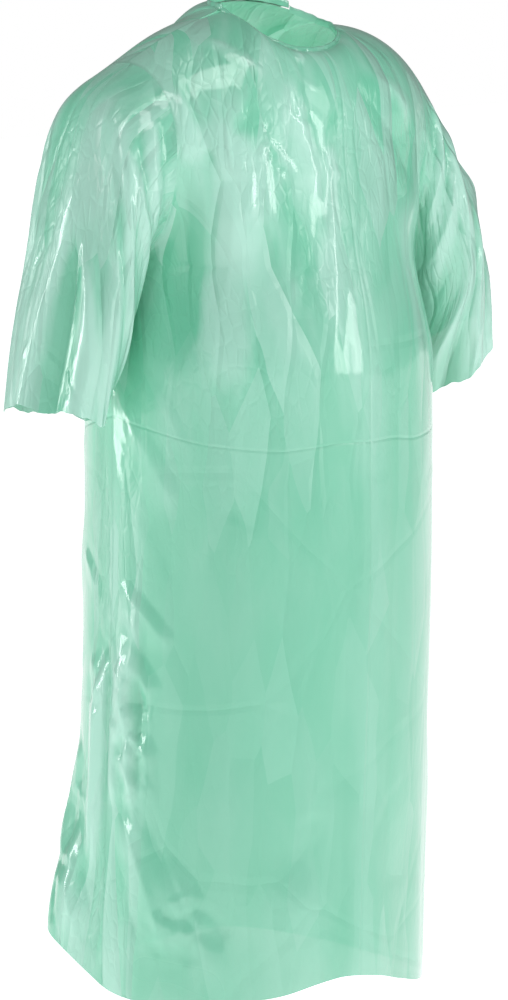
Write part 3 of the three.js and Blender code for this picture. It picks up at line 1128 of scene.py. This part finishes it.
# Creases of the right back, in centimetres from the back's middle
RIGHT_BACK_CREASES = (
    crease((-21.0, 13.0), (-22.0, 30.0), (-25.0, 46.0), height=-10.0, near=3.0, far=3.4, spread=1.3),
    crease((-15.0, 8.0), (-16.0, 24.0), (-14.0, 44.0), height=7.0, near=3.0, far=4.0, spread=1.4),
    crease((-8.0, 4.0), (-9.0, 18.0), (-8.0, 34.0), height=5.0, near=2.0, far=4.0, spread=1.4),
    crease((-30.0, 76.0), (-30.8, 92.0), (-31.0, 106.0), height=9.0, near=2.4, far=3.4),
    crease((-27.0, 98.0), (-28.0, 105.5), (-32.0, 113.0), height=7.0, near=2.6, far=2.6),
    crease((-31.0, 51.0), (-14.0, 53.0), (4.0, 51.0), height=1.1, near=1.2, far=3.2),
    crease((-14.0, 46.0), (-14.2, 80.0), (-14.0, 130.0), height=3.0, near=3.6, far=2.0),
    crease((-24.0, 60.0), (-18.0, 70.0), (-12.0, 86.0), height=4.4, near=3.0, far=4.0),
    crease((-21.0, 88.0), (-20.0, 126.0), height=7.0, near=6.0, far=6.0, soft=True),
    crease((-5.0, 90.0), (-6.0, 128.0), height=-5.0, near=6.0, far=6.0, soft=True),
)

# Creases of the left back, in centimetres from the back's middle
LEFT_BACK_CREASES = (
    crease((21.0, 13.0), (22.0, 30.0), (25.0, 46.0), height=-10.0, near=3.4, far=3.0, spread=1.3),
    crease((14.0, 12.0), (16.0, 26.0), (15.0, 44.0), height=6.0, near=3.0, far=4.0, spread=1.4),
    crease((5.0, 51.0), (14.0, 52.5), (31.0, 51.0), height=1.1, near=1.2, far=3.2),
    crease((18.0, 46.0), (18.2, 80.0), (18.0, 130.0), height=3.0, near=3.6, far=2.0),
    crease((27.0, 78.0), (23.0, 94.0), (24.0, 126.0), height=7.0, near=4.0, far=5.0),
)

# Creases of a sleeve, in centimetres round it from its top line and down from the armhole. Plus is
# round the front. They hang plumb, so those near the armhole run round it.
SLEEVE_CREASES = (
    crease((5.2, 18.0), (3.6, 23.0), (1.4, 33.0), (-0.8, 54.0), height=9.0, near=2.0, far=3.4, spread=1.2),
    crease((5.0, 19.0), (6.0, 24.6), (7.4, 28.5), (8.6, 33.5), (8.0, 50.0), height=10.0, near=2.2, far=2.2,
           spread=1.2),
    crease((5.0, 20.0), (5.4, 32.4), (4.6, 54.0), height=-15.0, near=2.0, far=1.8, spread=1.2),
    crease((7.0, 4.0), (7.9, 9.0), (7.4, 15.7), (5.8, 23.0), height=8.0, near=1.6, far=2.6, spread=1.4),
    crease((4.2, 3.0), (4.6, 9.0), (3.8, 17.0), (2.2, 26.0), height=7.0, near=2.0, far=2.2, spread=1.3),
    crease((9.4, 9.0), (15.5, 9.5), (19.0, 8.6), (25.0, 7.2), height=11.0, near=1.8, far=2.8, spread=1.4),
    crease((7.6, 3.0), (13.7, 5.0), (19.0, 4.4), (24.0, 3.4), height=9.0, near=1.6, far=2.4, spread=1.4),
    crease((15.6, 10.6), (19.6, 6.4), (23.4, 3.0), height=5.0, near=1.0, far=1.8),
    crease((8.6, 6.0), (12.0, 13.0), (16.0, 17.5), (23.0, 20.0), height=9.0, near=2.2, far=3.0, spread=1.5),
    crease((9.6, 16.0), (12.6, 23.0), (12.2, 30.0), (10.2, 34.0), height=8.0, near=1.8, far=3.2),
    crease((10.2, 31.0), (12.6, 34.0), (11.0, 41.0), height=6.0, near=1.2, far=2.6),
    crease((17.0, 16.0), (17.5, 24.0), (16.0, 44.0), height=-9.0, near=2.6, far=2.6, spread=1.3),
    crease((-3.0, 2.0), (-5.6, 12.0), (-5.0, 26.0), (-4.0, 54.0), height=9.0, near=2.4, far=3.0,
           spread=1.5),
    crease((-6.0, 3.0), (-12.0, 6.0), (-18.0, 6.4), (-24.0, 5.0), height=9.0, near=2.0, far=2.8, spread=1.4),
    crease((-7.0, 8.0), (-12.0, 15.0), (-16.0, 20.0), (-22.0, 24.0), height=9.0, near=2.2, far=3.0,
           spread=1.4),
    crease((-9.0, 14.0), (-11.0, 26.0), (-10.0, 52.0), height=-10.0, near=2.6, far=2.2, spread=1.4),
)


def patch(seed: int, count: int, middle: tuple[float, float], half: tuple[float, float], direction: float,
          scatter: float, lengths: tuple[float, float], heights: tuple[float, float],
          widths: tuple[float, float]) -> Crumple:
    """Lay one patch, with all sizes in centimetres except the heights, in millimetres.

    Args:
        seed: Where the chance draws start.
        count: How many creases.
        middle: Middle of the patch, across and down.
        half: Half its size, across and down.
        direction: Which way the creases run, in degrees.
        scatter: How far they stray from that, in degrees.
        lengths: Shortest and longest.
        heights: Lowest and highest.
        widths: Narrowest and widest.

    Returns:
        The patch, in metres.
    """
    metres = [tuple(value / 100 for value in pair) for pair in (middle, half, lengths, widths)]
    tall = (heights[0] / 1000, heights[1] / 1000)
    return Crumple(seed, count, metres[0], metres[1], direction, scatter, metres[2], tall, metres[3])


LONG, SHORT, TINY = (5.0, 20.0), (2.0, 8.0), (0.6, 2.6)
SOFT_FOLD, FOLD, GLITTER = (0.4, 2.0), (1.2, 4.5), (0.4, 1.3)
WIDE, NARROW, FINE = (1.2, 3.4), (0.5, 1.8), (0.2, 0.5)

CRUMPLES = {
    "front_film": (
        patch(11, 26, (0.0, 24.0), (20.0, 18.0), 2.0, 14.0, LONG, SOFT_FOLD, WIDE),
        patch(12, 22, (-8.0, 12.0), (14.0, 9.0), 8.0, 25.0, SHORT, FOLD, NARROW),
        patch(13, 14, (-28.0, 52.0), (6.0, 28.0), 18.0, 26.0, LONG, SOFT_FOLD, WIDE),
        patch(14, 16, (-30.0, 86.0), (3.0, 13.0), 8.0, 14.0, (6.0, 18.0), (2.0, 6.0), (1.2, 3.6)),
        patch(15, 14, (4.0, 76.0), (28.0, 36.0), 40.0, 60.0, LONG, (0.3, 1.0), WIDE),
        patch(16, 12, (-24.0, 108.0), (8.0, 4.0), 50.0, 35.0, SHORT, SOFT_FOLD, WIDE),
        patch(25, 24, (-29.5, 86.0), (2.4, 9.0), 30.0, 60.0, TINY, (0.6, 2.0), FINE),
    ),
    "right_back_film": (
        patch(21, 30, (-14.0, 24.0), (14.0, 18.0), -2.0, 16.0, LONG, SOFT_FOLD, WIDE),
        patch(22, 16, (-28.0, 88.0), (6.0, 20.0), -14.0, 22.0, LONG, FOLD, WIDE),
        patch(23, 16, (-10.0, 76.0), (16.0, 36.0), 20.0, 50.0, LONG, (0.4, 1.6), WIDE),
    ),
    "left_back_film": (
        patch(31, 30, (12.0, 24.0), (16.0, 18.0), 2.0, 16.0, LONG, SOFT_FOLD, WIDE),
        patch(33, 20, (16.0, 76.0), (16.0, 36.0), 20.0, 50.0, LONG, (0.4, 1.8), WIDE),
    ),
}
SLEEVE_PATCHES = (
    patch(41, 12, (15.0, 6.0), (8.0, 5.0), 82.0, 9.0, LONG, SOFT_FOLD, WIDE),
    patch(42, 14, (8.0, 14.0), (6.0, 8.0), 35.0, 12.0, LONG, SOFT_FOLD, WIDE),
    patch(43, 26, (6.0, 32.0), (14.0, 12.0), 2.0, 8.0, LONG, SOFT_FOLD, WIDE),
    patch(44, 12, (-15.0, 6.0), (8.0, 5.0), -82.0, 9.0, LONG, SOFT_FOLD, WIDE),
    patch(45, 14, (-8.0, 14.0), (6.0, 8.0), -35.0, 12.0, LONG, SOFT_FOLD, WIDE),
    patch(46, 22, (-10.0, 32.0), (12.0, 12.0), -2.0, 8.0, LONG, SOFT_FOLD, WIDE),
    patch(50, 50, (8.0, 39.0), (8.0, 3.0), 60.0, 40.0, TINY, (0.6, 2.0), FINE),
    patch(51, 20, (4.0, 20.0), (12.0, 14.0), 8.0, 14.0, SHORT, (0.5, 1.6), NARROW),
)
CRUMPLES["right_sleeve_film"] = SLEEVE_PATCHES
CRUMPLES["left_sleeve_film"] = SLEEVE_PATCHES

# How much of their height the creases keep above the waist, where the film is stretched
CREASE_SHARES = {
    "front_film": 0.48,
    "right_back_film": 0.6,
    "left_back_film": 0.6,
    "right_sleeve_film": 0.62,
    "left_sleeve_film": 0.7,
}

HAND_CREASES = {
    "front_film": FRONT_CREASES,
    "right_back_film": RIGHT_BACK_CREASES,
    "left_back_film": LEFT_BACK_CREASES,
    "right_sleeve_film": SLEEVE_CREASES,
    "left_sleeve_film": SLEEVE_CREASES,
}


class Nodes:
    """Adds nodes to one material and links them."""

    def __init__(self, material: bpy.types.Material) -> None:
        """Start from the material's own shader.

        Args:
            material: The material to build in.
        """
        material.use_nodes = True
        self.tree = material.node_tree
        self.shader = self.tree.nodes["Principled BSDF"]

    def add(self, kind: str, settings: dict[str, object] | None = None,
            values: dict[str, object] | None = None) -> bpy.types.Node:
        """Add one node.

        Args:
            kind: The node's type name.
            settings: Its own settings, by name.
            values: What its unlinked inputs hold, by name.

        Returns:
            The node.
        """
        node = self.tree.nodes.new(kind)
        for name, value in (settings or {}).items():
            setattr(node, name, value)
        for name, value in (values or {}).items():
            node.inputs[name].default_value = value
        return node

    def link(self, source: bpy.types.NodeSocket, target: bpy.types.NodeSocket) -> None:
        """Link an output to an input."""
        self.tree.links.new(source, target)

    def math(self, operation: str, first: object, second: object = 0.0) -> bpy.types.NodeSocket:
        """Add a math node.

        Args:
            operation: What it does.
            first: A number or an output.
            second: A number or an output.

        Returns:
            Its output.
        """
        node = self.add("ShaderNodeMath", {"operation": operation})
        for socket, value in zip(node.inputs, (first, second)):
            if isinstance(value, bpy.types.NodeSocket):
                self.link(value, socket)
            else:
                socket.default_value = value
        return node.outputs["Value"]

    def ramp(self, value: bpy.types.NodeSocket, low: float, high: float, start: float = 0.0,
             end: float = 1.0) -> bpy.types.NodeSocket:
        """Map a value from low..high to start..end, smoothly.

        Args:
            value: The value to map.
            low: The value that gives start.
            high: The value that gives end.
            start: The result at low.
            end: The result at high.

        Returns:
            The mapped value.
        """
        limits = {"From Min": low, "From Max": high, "To Min": start, "To Max": end}
        node = self.add("ShaderNodeMapRange", {"interpolation_type": "SMOOTHSTEP"}, limits)
        self.link(value, node.inputs["Value"])
        return node.outputs["Result"]

    def noise(self, place: bpy.types.NodeSocket, scale: float, detail: float,
              distortion: float = 0.0) -> bpy.types.NodeSocket:
        """Add a noise texture and give its value.

        Args:
            place: Where to read it.
            scale: How fine it is.
            detail: How many finer layers it has.
            distortion: How far it is bent.

        Returns:
            The value.
        """
        values = {"Scale": scale, "Detail": detail, "Distortion": distortion}
        node = self.add("ShaderNodeTexNoise", None, values)
        self.link(place, node.inputs["Vector"])
        return node.outputs["Fac"]

    def colour(self, share: bpy.types.NodeSocket, first: object, second: object) -> bpy.types.NodeSocket:
        """Blend two colours, each of them a colour or an output.

        Args:
            share: How much of the second colour shows.
            first: The first colour.
            second: The second colour.

        Returns:
            The blend.
        """
        node = self.add("ShaderNodeMix", {"data_type": "RGBA"})
        self.link(share, node.inputs[0])
        for socket, value in ((node.inputs[6], first), (node.inputs[7], second)):
            if isinstance(value, bpy.types.NodeSocket):
                self.link(value, socket)
            else:
                socket.default_value = (*value, 1.0)
        return node.outputs[2]


FOLD_LIE = (1.0, 0.22, 1.0)


@dataclass(frozen=True)
class FilmFinish:
    """Glossy translucent film that is creased and finely crinkled.

    Colours are linear, and one of them is painted sheen. Crinkle sizes are in cells to the metre, and depths
    in metres.
    """

    name: str
    deep: tuple[float, float, float] = (0.160, 0.560, 0.372)
    pale: tuple[float, float, float] = (0.212, 0.610, 0.425)
    # painted sheen: the pale colour laid on raised creases, on leaning facets and beside the first pressed
    # line
    painted_sheen: tuple[float, float, float] = (0.420, 0.735, 0.615)
    opacity: float = 0.955
    thick_opacity: float = 0.985
    roughness: float = 0.27
    dull_roughness: float = 0.34
    warp: float = 0.014
    warp_scale: float = 9.0
    # how pale the painted sheen on leaning facets gets
    facet_sheen: float = 0.70
    tilt: float = 0.40
    fold_scale: float = 30.0
    fold_depth: float = 0.0012
    cross_scale: float = 9.0
    cross_depth: float = 0.0004
    crinkle_scale: float = 90.0
    crinkle_depth: float = 0.00042
    press_lines: tuple[tuple[str, float], ...] = (("X", 0.010), ("Y", 0.535))
    press_width: float = 0.0028
    press_slope: float = 0.22
    # the painted sheen band beside the first pressed line: its width and its strength
    press_sheen_width: float = 0.050
    press_line_sheen: float = 0.28
    ripple_scale: float = 110.0
    ripple_depth: float = 0.00012
    weld_width: float = 0.0035
    weld_depth: float = 0.0003

    def made(self) -> bpy.types.Material:
        """Build the material.

        Returns:
            The material.
        """
        material = bpy.data.materials.new(self.name)
        nodes = Nodes(material)
        shader = nodes.shader
        shader.inputs["IOR"].default_value = 1.5
        shader.inputs["Coat Weight"].default_value = 0.65
        shader.inputs["Coat Roughness"].default_value = 0.09
        shader.inputs["Coat IOR"].default_value = 1.5
        chart = nodes.add("ShaderNodeAttribute", {"attribute_name": "film_chart"}).outputs["Vector"]
        weld_crinkle_relief = nodes.add("ShaderNodeAttribute", {"attribute_name": "film_weld_crinkle_relief"}).outputs["Vector"]
        parts = nodes.add("ShaderNodeSeparateXYZ")
        nodes.link(weld_crinkle_relief, parts.inputs["Vector"])
        weld, crinkle, relief = (parts.outputs[axis] for axis in "XYZ")
        cloud = nodes.noise(chart, 4.0, 2.0, 0.2)
        tone = nodes.ramp(cloud, 0.30, 0.70)
        welded = nodes.ramp(weld, 0.0, self.weld_width, 1.0, 0.0)
        base = nodes.colour(tone, self.deep, self.pale)
        streak = nodes.add("ShaderNodeMapping", None, {"Scale": (1.0, 0.35, 1.0)})
        nodes.link(chart, streak.inputs["Vector"])
        veil = nodes.noise(streak.outputs["Vector"], 26.0, 3.0, 0.4)
        # painted sheen on film that creases raise, mixed with random pale streaks, only where the film is
        # crinkled
        high = nodes.math("ADD", nodes.math("MULTIPLY", relief, 0.55), nodes.math("MULTIPLY", veil, 0.9))
        ridge_sheen_and_streaks = nodes.math("MULTIPLY", nodes.ramp(high, 0.25, 0.95), crinkle)
        base = nodes.colour(ridge_sheen_and_streaks, base, self.painted_sheen)
        place = self.warped(nodes, chart)
        tilts = self.cells(nodes, place, FOLD_LIE, self.fold_scale, "F1").outputs["Color"]
        apart = nodes.add("ShaderNodeSeparateXYZ")
        nodes.link(tilts, apart.inputs["Vector"])
        # painted sheen: facets that lean towards plus X are painted paler, as if they caught the light, in
        # crinkled film
        facet_sheen = nodes.ramp(apart.outputs["X"], 0.35, 0.95, 0.0, self.facet_sheen)
        base = nodes.colour(nodes.math("MULTIPLY", facet_sheen, crinkle), base, self.painted_sheen)
        # painted sheen: a pale band beside the first pressed line, strongest above the waist
        base = nodes.colour(self.band(nodes, chart), base, self.painted_sheen)
        dark = tuple(0.8 * channel for channel in self.deep)
        nodes.link(nodes.colour(nodes.math("MULTIPLY", welded, 0.4), base, dark), shader.inputs["Base Color"])
        clear = nodes.math("MULTIPLY", welded, self.thick_opacity - self.opacity)
        cloudy = nodes.math("MULTIPLY", nodes.math("SUBTRACT", tone, 0.5), -0.06)
        alpha = nodes.math("ADD", nodes.math("ADD", clear, cloudy), self.opacity)
        nodes.link(alpha, shader.inputs["Alpha"])
        haze = nodes.ramp(cloud, 0.30, 0.70, self.roughness, self.dull_roughness)
        nodes.link(haze, shader.inputs["Roughness"])
        self.dent(nodes, chart, place, crinkle, welded, tilts)
        return material

    def band(self, nodes: Nodes, chart: bpy.types.NodeSocket) -> bpy.types.NodeSocket:
        """Give the painted sheen: a pale band that fades out beside the first pressed line.

        Args:
            nodes: The nodes to add to.
            chart: Place on the film.

        Returns:
            The share of painted sheen.
        """
        apart = nodes.add("ShaderNodeSeparateXYZ")
        nodes.link(chart, apart.inputs["Vector"])
        line = self.press_lines[0][1]
        past = nodes.math("GREATER_THAN", apart.outputs["X"], line)
        fade = nodes.ramp(apart.outputs["X"], line, line + self.press_sheen_width, self.press_line_sheen, 0.0)
        upper = nodes.ramp(apart.outputs["Y"], 0.45, 0.80, 1.0, 0.25)
        return nodes.math("MULTIPLY", nodes.math("MULTIPLY", past, fade), upper)

    def warped(self, nodes: Nodes, chart: bpy.types.NodeSocket) -> bpy.types.NodeSocket:
        """Give a place on the film that wanders, so that facets aren't even.

        Args:
            nodes: The nodes to add to.
            chart: Place on the film.

        Returns:
            The wandering place.
        """
        warp = nodes.add("ShaderNodeTexNoise", None, {"Scale": self.warp_scale, "Detail": 1.0})
        nodes.link(chart, warp.inputs["Vector"])
        shift = nodes.add("ShaderNodeVectorMath", {"operation": "SCALE"})
        nodes.link(warp.outputs["Color"], shift.inputs[0])
        shift.inputs["Scale"].default_value = self.warp
        moved = nodes.add("ShaderNodeVectorMath", {"operation": "ADD"})
        nodes.link(chart, moved.inputs[0])
        nodes.link(shift.outputs["Vector"], moved.inputs[1])
        return moved.outputs["Vector"]

    def cells(self, nodes: Nodes, place: bpy.types.NodeSocket, lie: tuple[float, float, float],
              scale: float, feature: str) -> bpy.types.Node:
        """Divide the film into facets.

        Args:
            nodes: The material's nodes.
            place: Place on the film.
            lie: How the facets are stretched.
            scale: Facets to the metre.
            feature: The texture's feature to read.

        Returns:
            The texture node.
        """
        stretched = nodes.add("ShaderNodeMapping", None, {"Scale": lie})
        nodes.link(place, stretched.inputs["Vector"])
        cells = nodes.add("ShaderNodeTexVoronoi", {"feature": feature}, {"Scale": scale})
        nodes.link(stretched.outputs["Vector"], cells.inputs["Vector"])
        return cells

    def raised(self, nodes: Nodes, place: bpy.types.NodeSocket, lie: tuple[float, float, float],
               scale: float, edge: float, depth: float) -> bpy.types.NodeSocket:
        """Raise flat facets between crisp lines.

        Args:
            nodes: The material's nodes.
            place: Place on the film.
            lie: How the facets are stretched.
            scale: Facets to the metre.
            edge: Width of a facet's sloping edge, as a share of a facet.
            depth: Height of a facet, in metres.

        Returns:
            The height, in metres.
        """
        cells = self.cells(nodes, place, lie, scale, "DISTANCE_TO_EDGE")
        rise = nodes.math("MINIMUM", cells.outputs["Distance"], edge)
        return nodes.math("MULTIPLY", rise, depth / edge)

    def pressed(self, nodes: Nodes, chart: bpy.types.NodeSocket) -> bpy.types.NodeSocket:
        """Press the lines where the gown was folded flat, and give their height.

        Args:
            nodes: The nodes to add to.
            chart: Place on the film.

        Returns:
            The height of the lines.
        """
        apart = nodes.add("ShaderNodeSeparateXYZ")
        wander = nodes.math("MULTIPLY", nodes.noise(chart, 3.4, 2.0), 0.07)
        nodes.link(chart, apart.inputs["Vector"])
        height = None
        for axis, at in self.press_lines:
            value = nodes.math("ADD", apart.outputs[axis], wander if axis == "Y" else 0.0)
            away = nodes.math("ABSOLUTE", nodes.math("SUBTRACT", value, at))
            line = nodes.math("MULTIPLY", nodes.math("MINIMUM", away, self.press_width), self.press_slope)
            height = line if height is None else nodes.math("ADD", height, line)
        return height

    def dent(self, nodes: Nodes, chart: bpy.types.NodeSocket, place: bpy.types.NodeSocket,
             crinkle: bpy.types.NodeSocket, welded: bpy.types.NodeSocket,
             tilts: bpy.types.NodeSocket) -> None:
        """Bend the surface's shading with tilted facets, crisp lines, ripples and the weld's edge.

        Args:
            nodes: The material's nodes.
            chart: Place on the film.
            place: Place on the film, wandering.
            crinkle: How crinkled the film is.
            welded: 1 on a weld.
            tilts: A chance vector for each facet.
        """
        folds = self.raised(nodes, place, FOLD_LIE, self.fold_scale, 0.14, self.fold_depth)
        fine = self.raised(nodes, place, (1.0, 0.45, 1.0), self.crinkle_scale, 0.16, self.crinkle_depth)
        cross = self.raised(nodes, place, (0.55, 0.5, 1.0), self.cross_scale, 0.03, self.cross_depth)
        fine = nodes.math("MULTIPLY", fine, nodes.ramp(nodes.noise(chart, 6.0, 2.0), 0.38, 0.56))
        height = nodes.math("MULTIPLY", nodes.math("ADD", folds, fine), crinkle)
        ripple = nodes.math("MULTIPLY", nodes.noise(chart, self.ripple_scale, 3.0), self.ripple_depth)
        weld = nodes.math("MULTIPLY", welded, self.weld_depth)
        for more in (ripple, cross, self.pressed(nodes, chart), weld):
            height = nodes.math("ADD", height, more)
        centred = nodes.add("ShaderNodeVectorMath", {"operation": "SUBTRACT"})
        nodes.link(tilts, centred.inputs[0])
        centred.inputs[1].default_value = (0.5, 0.5, 0.5)
        leaning = nodes.add("ShaderNodeVectorMath", {"operation": "SCALE"})
        nodes.link(centred.outputs["Vector"], leaning.inputs[0])
        nodes.link(nodes.math("MULTIPLY", crinkle, self.tilt), leaning.inputs["Scale"])
        turned = nodes.add("ShaderNodeVectorMath", {"operation": "ADD"})
        nodes.link(nodes.add("ShaderNodeNewGeometry").outputs["Normal"], turned.inputs[0])
        nodes.link(leaning.outputs["Vector"], turned.inputs[1])
        even = nodes.add("ShaderNodeVectorMath", {"operation": "NORMALIZE"})
        nodes.link(turned.outputs["Vector"], even.inputs[0])
        bump = nodes.add("ShaderNodeBump", None, {"Strength": 1.0, "Distance": 1.0})
        nodes.link(height, bump.inputs["Height"])
        nodes.link(even.outputs["Vector"], bump.inputs["Normal"])
        nodes.link(bump.outputs["Normal"], nodes.shader.inputs["Normal"])


@dataclass
class Studio:
    """Pale sweep, soft light and camera."""

    azimuth: float = -40.0
    elevation: float = 7.0
    distance: float = 12.0
    height_in_view: float = 1.2
    target: tuple[float, float, float] = (-0.002, 0.001, -0.579)
    floor_height: float = -1.45
    glow_place: tuple[float, float, float] = (0.0, -0.05, -0.16)
    glow_power: float = 0.7

    def camera(self) -> None:
        """Place the camera at the viewing angle of a portrait of the gown."""
        data = bpy.data.cameras.new("portrait_camera")
        data.sensor_width = 36.0
        data.lens = data.sensor_width * self.distance / self.height_in_view
        camera = bpy.data.objects.new("portrait_camera", data)
        a, e = math.radians(self.azimuth), math.radians(self.elevation)
        back = Vector((math.sin(a) * math.cos(e), -math.cos(a) * math.cos(e), math.sin(e)))
        camera.location = Vector(self.target) + back * self.distance
        camera.rotation_mode = "QUATERNION"
        camera.rotation_quaternion = (-back).to_track_quat("-Z", "Y")
        bpy.context.scene.collection.objects.link(camera)
        bpy.context.scene.camera = camera

    def light(self, name: str, azimuth: float, elevation: float, size: tuple[float, float],
              power: float, distance: float = 2.6) -> None:
        """Add one soft box that faces the middle of the gown.

        Args:
            name: The light's name.
            azimuth: Its bearing round the gown, in degrees.
            elevation: Its height above the horizon, in degrees.
            size: Width and height, in metres.
            power: Watts.
            distance: Metres from the gown.
        """
        data = bpy.data.lights.new(name, "AREA")
        data.shape = "RECTANGLE"
        data.size, data.size_y = size
        data.energy = power
        light = bpy.data.objects.new(name, data)
        a, e = math.radians(azimuth), math.radians(elevation)
        back = Vector((math.sin(a) * math.cos(e), -math.cos(a) * math.cos(e), math.sin(e)))
        light.location = Vector(self.target) + back * distance
        light.rotation_mode = "QUATERNION"
        light.rotation_quaternion = (-back).to_track_quat("-Z", "Y")
        bpy.context.scene.collection.objects.link(light)

    def inner_glow(self) -> None:
        """Light the inside of the neck, as the film lets light through."""
        data = bpy.data.lights.new("inner_glow", "POINT")
        data.energy = self.glow_power
        data.shadow_soft_size = 0.06
        glow = bpy.data.objects.new("inner_glow", data)
        glow.location = self.glow_place
        glow.visible_camera = False
        bpy.context.scene.collection.objects.link(glow)

    def world(self) -> None:
        """A plain pale surround, dimmer in reflections than behind the gown."""
        world = bpy.data.worlds.new("studio")
        bpy.context.scene.world = world
        world.use_nodes = True
        tree = world.node_tree
        background = tree.nodes["Background"]
        background.inputs["Color"].default_value = (1.0, 1.0, 1.0, 1.0)
        path = tree.nodes.new("ShaderNodeLightPath")
        strength = tree.nodes.new("ShaderNodeMapRange")
        strength.inputs["To Min"].default_value = 0.205
        strength.inputs["To Max"].default_value = 1.0
        tree.links.new(path.outputs["Is Camera Ray"], strength.inputs["Value"])
        tree.links.new(strength.outputs["Result"], background.inputs["Strength"])

    def floor(self) -> None:
        """A plain pale floor."""
        sweep = bmesh.new()
        bmesh.ops.create_grid(sweep, x_segments=1, y_segments=1, size=12.0)
        bmesh.ops.translate(sweep, verts=sweep.verts, vec=(0.0, 0.0, self.floor_height))
        mesh = bpy.data.meshes.new("studio_floor")
        sweep.to_mesh(mesh)
        sweep.free()
        material = bpy.data.materials.new("studio_paper")
        material.use_nodes = True
        shader = material.node_tree.nodes["Principled BSDF"]
        shader.inputs["Base Color"].default_value = (0.93, 0.93, 0.93, 1.0)
        shader.inputs["Roughness"].default_value = 0.9
        shader.inputs["Emission Color"].default_value = (1.0, 1.0, 1.0, 1.0)
        shader.inputs["Emission Strength"].default_value = 1.0
        mesh.materials.append(material)
        floor = bpy.data.objects.new("studio_floor", mesh)
        bpy.context.scene.collection.objects.link(floor)

    def made(self) -> None:
        """Build the whole studio."""
        self.world()
        self.floor()
        self.camera()
        self.light("right_box", 24.0, 14.0, (0.42, 1.2), 14.0)
        self.light("high_box", -30.0, 58.0, (1.3, 0.8), 22.0)
        self.light("left_box", -128.0, 9.0, (0.4, 1.3), 21.0)
        self.inner_glow()
        scene = bpy.context.scene
        scene.view_settings.view_transform = "Standard"
        scene.cycles.transparent_max_bounces = 24


FILM_BODIES = {
    "front_film": ("front_panel",),
    "right_back_film": ("right_back_panel", "right_back_flap"),
    "left_back_film": ("left_back_panel",),
    "right_sleeve_film": ("right_sleeve",),
    "left_sleeve_film": ("left_sleeve",),
}


def inside(net: Net) -> Array:
    """1 for each point with neighbours all round it, and 0 on a free edge.

    Args:
        net: The joined films.

    Returns:
        One share for each point of the net.
    """
    a, b = net.threads.T
    count = np.bincount(np.concatenate([a, b]), minlength=len(net.points))
    return (count >= 4).astype(float)


def follow(piece: bpy.types.Object) -> None:
    """Tie the front's and left back's films to the gown's body, and bake the other films where they lie.

    Args:
        piece: The film's object.
    """
    if piece.name == "right_back_film":
        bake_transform(piece)
    elif piece.name.endswith("sleeve_film"):
        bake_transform(piece)
    else:
        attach(piece, "gown")


def dress_neck(shape: GownShape, finish: bpy.types.Material) -> None:
    """Make the neck's binding, ties and knot.

    Args:
        shape: The gown.
        finish: The film's material.
    """
    binding = Binding(shape)
    film = binding.made()
    band = film.made(finish, film.normals())
    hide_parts("neck_binding")
    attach(band, "gown")
    LOG.info("made %s", band.name)
    wrap = Knot(shape).made()
    knot = wrap.made(finish, wrap.normals())
    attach(knot, "gown")
    lap = shape.outer_lap
    ties = (
        NeckTie("left_neck_tie_film", shape, lap + 0.22, lap + 0.085, lap + 0.14, rest=0.0008),
        NeckTie("right_neck_tie_film", shape, lap - 0.10, lap + 0.065, lap - 0.03, rest=0.0058),
    )
    for tie in ties:
        film = tie.made()
        ribbon = film.made(finish, film.normals())
        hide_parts(tie.name.removesuffix("_film"))
        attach(ribbon, "gown")
        LOG.info("made %s", ribbon.name)


def dress_waist(shape: GownShape, finish: bpy.types.Material) -> None:
    """Make the two ties at the waist.

    Args:
        shape: The gown.
        finish: The film's material.
    """
    lap_edge = shape.half_width * math.sin(shape.outer_lap * QUARTER)
    ties = (
        WaistTie("right_waist_tie_film", "right_waist_tie", shape, lap_edge + 0.003, 0.0058, 0.012),
        WaistTie("left_waist_tie_film", "left_waist_tie", shape, lap_edge + 0.050, 0.0008, 0.0),
    )
    for tie in ties:
        film = tie.made()
        ribbon = film.made(finish, film.normals())
        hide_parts(tie.body)
        tie.follow(ribbon)
        LOG.info("made %s", ribbon.name)


def main() -> None:
    """Build the gown and its studio."""
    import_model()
    Studio().made()
    shape = GownShape()
    coarse = Net(Garment(shape).made())
    ease_armholes(coarse, shape)
    coarse.hand_back()
    net = Net({name: film.doubled() for name, film in coarse.films.items()})
    net.eased(np.full(len(net.points), 0.5) * inside(net), 4)
    net.hand_back()
    for name, film in net.films.items():
        creases = list(HAND_CREASES[name])
        for crumple in CRUMPLES[name]:
            creases.extend(crumple.creases())
        film.creased(creases, 0.007, CREASE_SHARES[name])
    finish = FilmFinish("gown_film").made()
    normals = net.normals()
    for name, film in net.films.items():
        piece = film.made(finish, normals[name])
        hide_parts(*FILM_BODIES[name])
        follow(piece)
        LOG.info("made %s with %d faces", piece.name, len(piece.data.polygons))
    dress_neck(shape, finish)
    dress_waist(shape, finish)


if __name__ == "__main__":
    logging.basicConfig(level=logging.INFO, format="%(name)s: %(message)s")
    main()
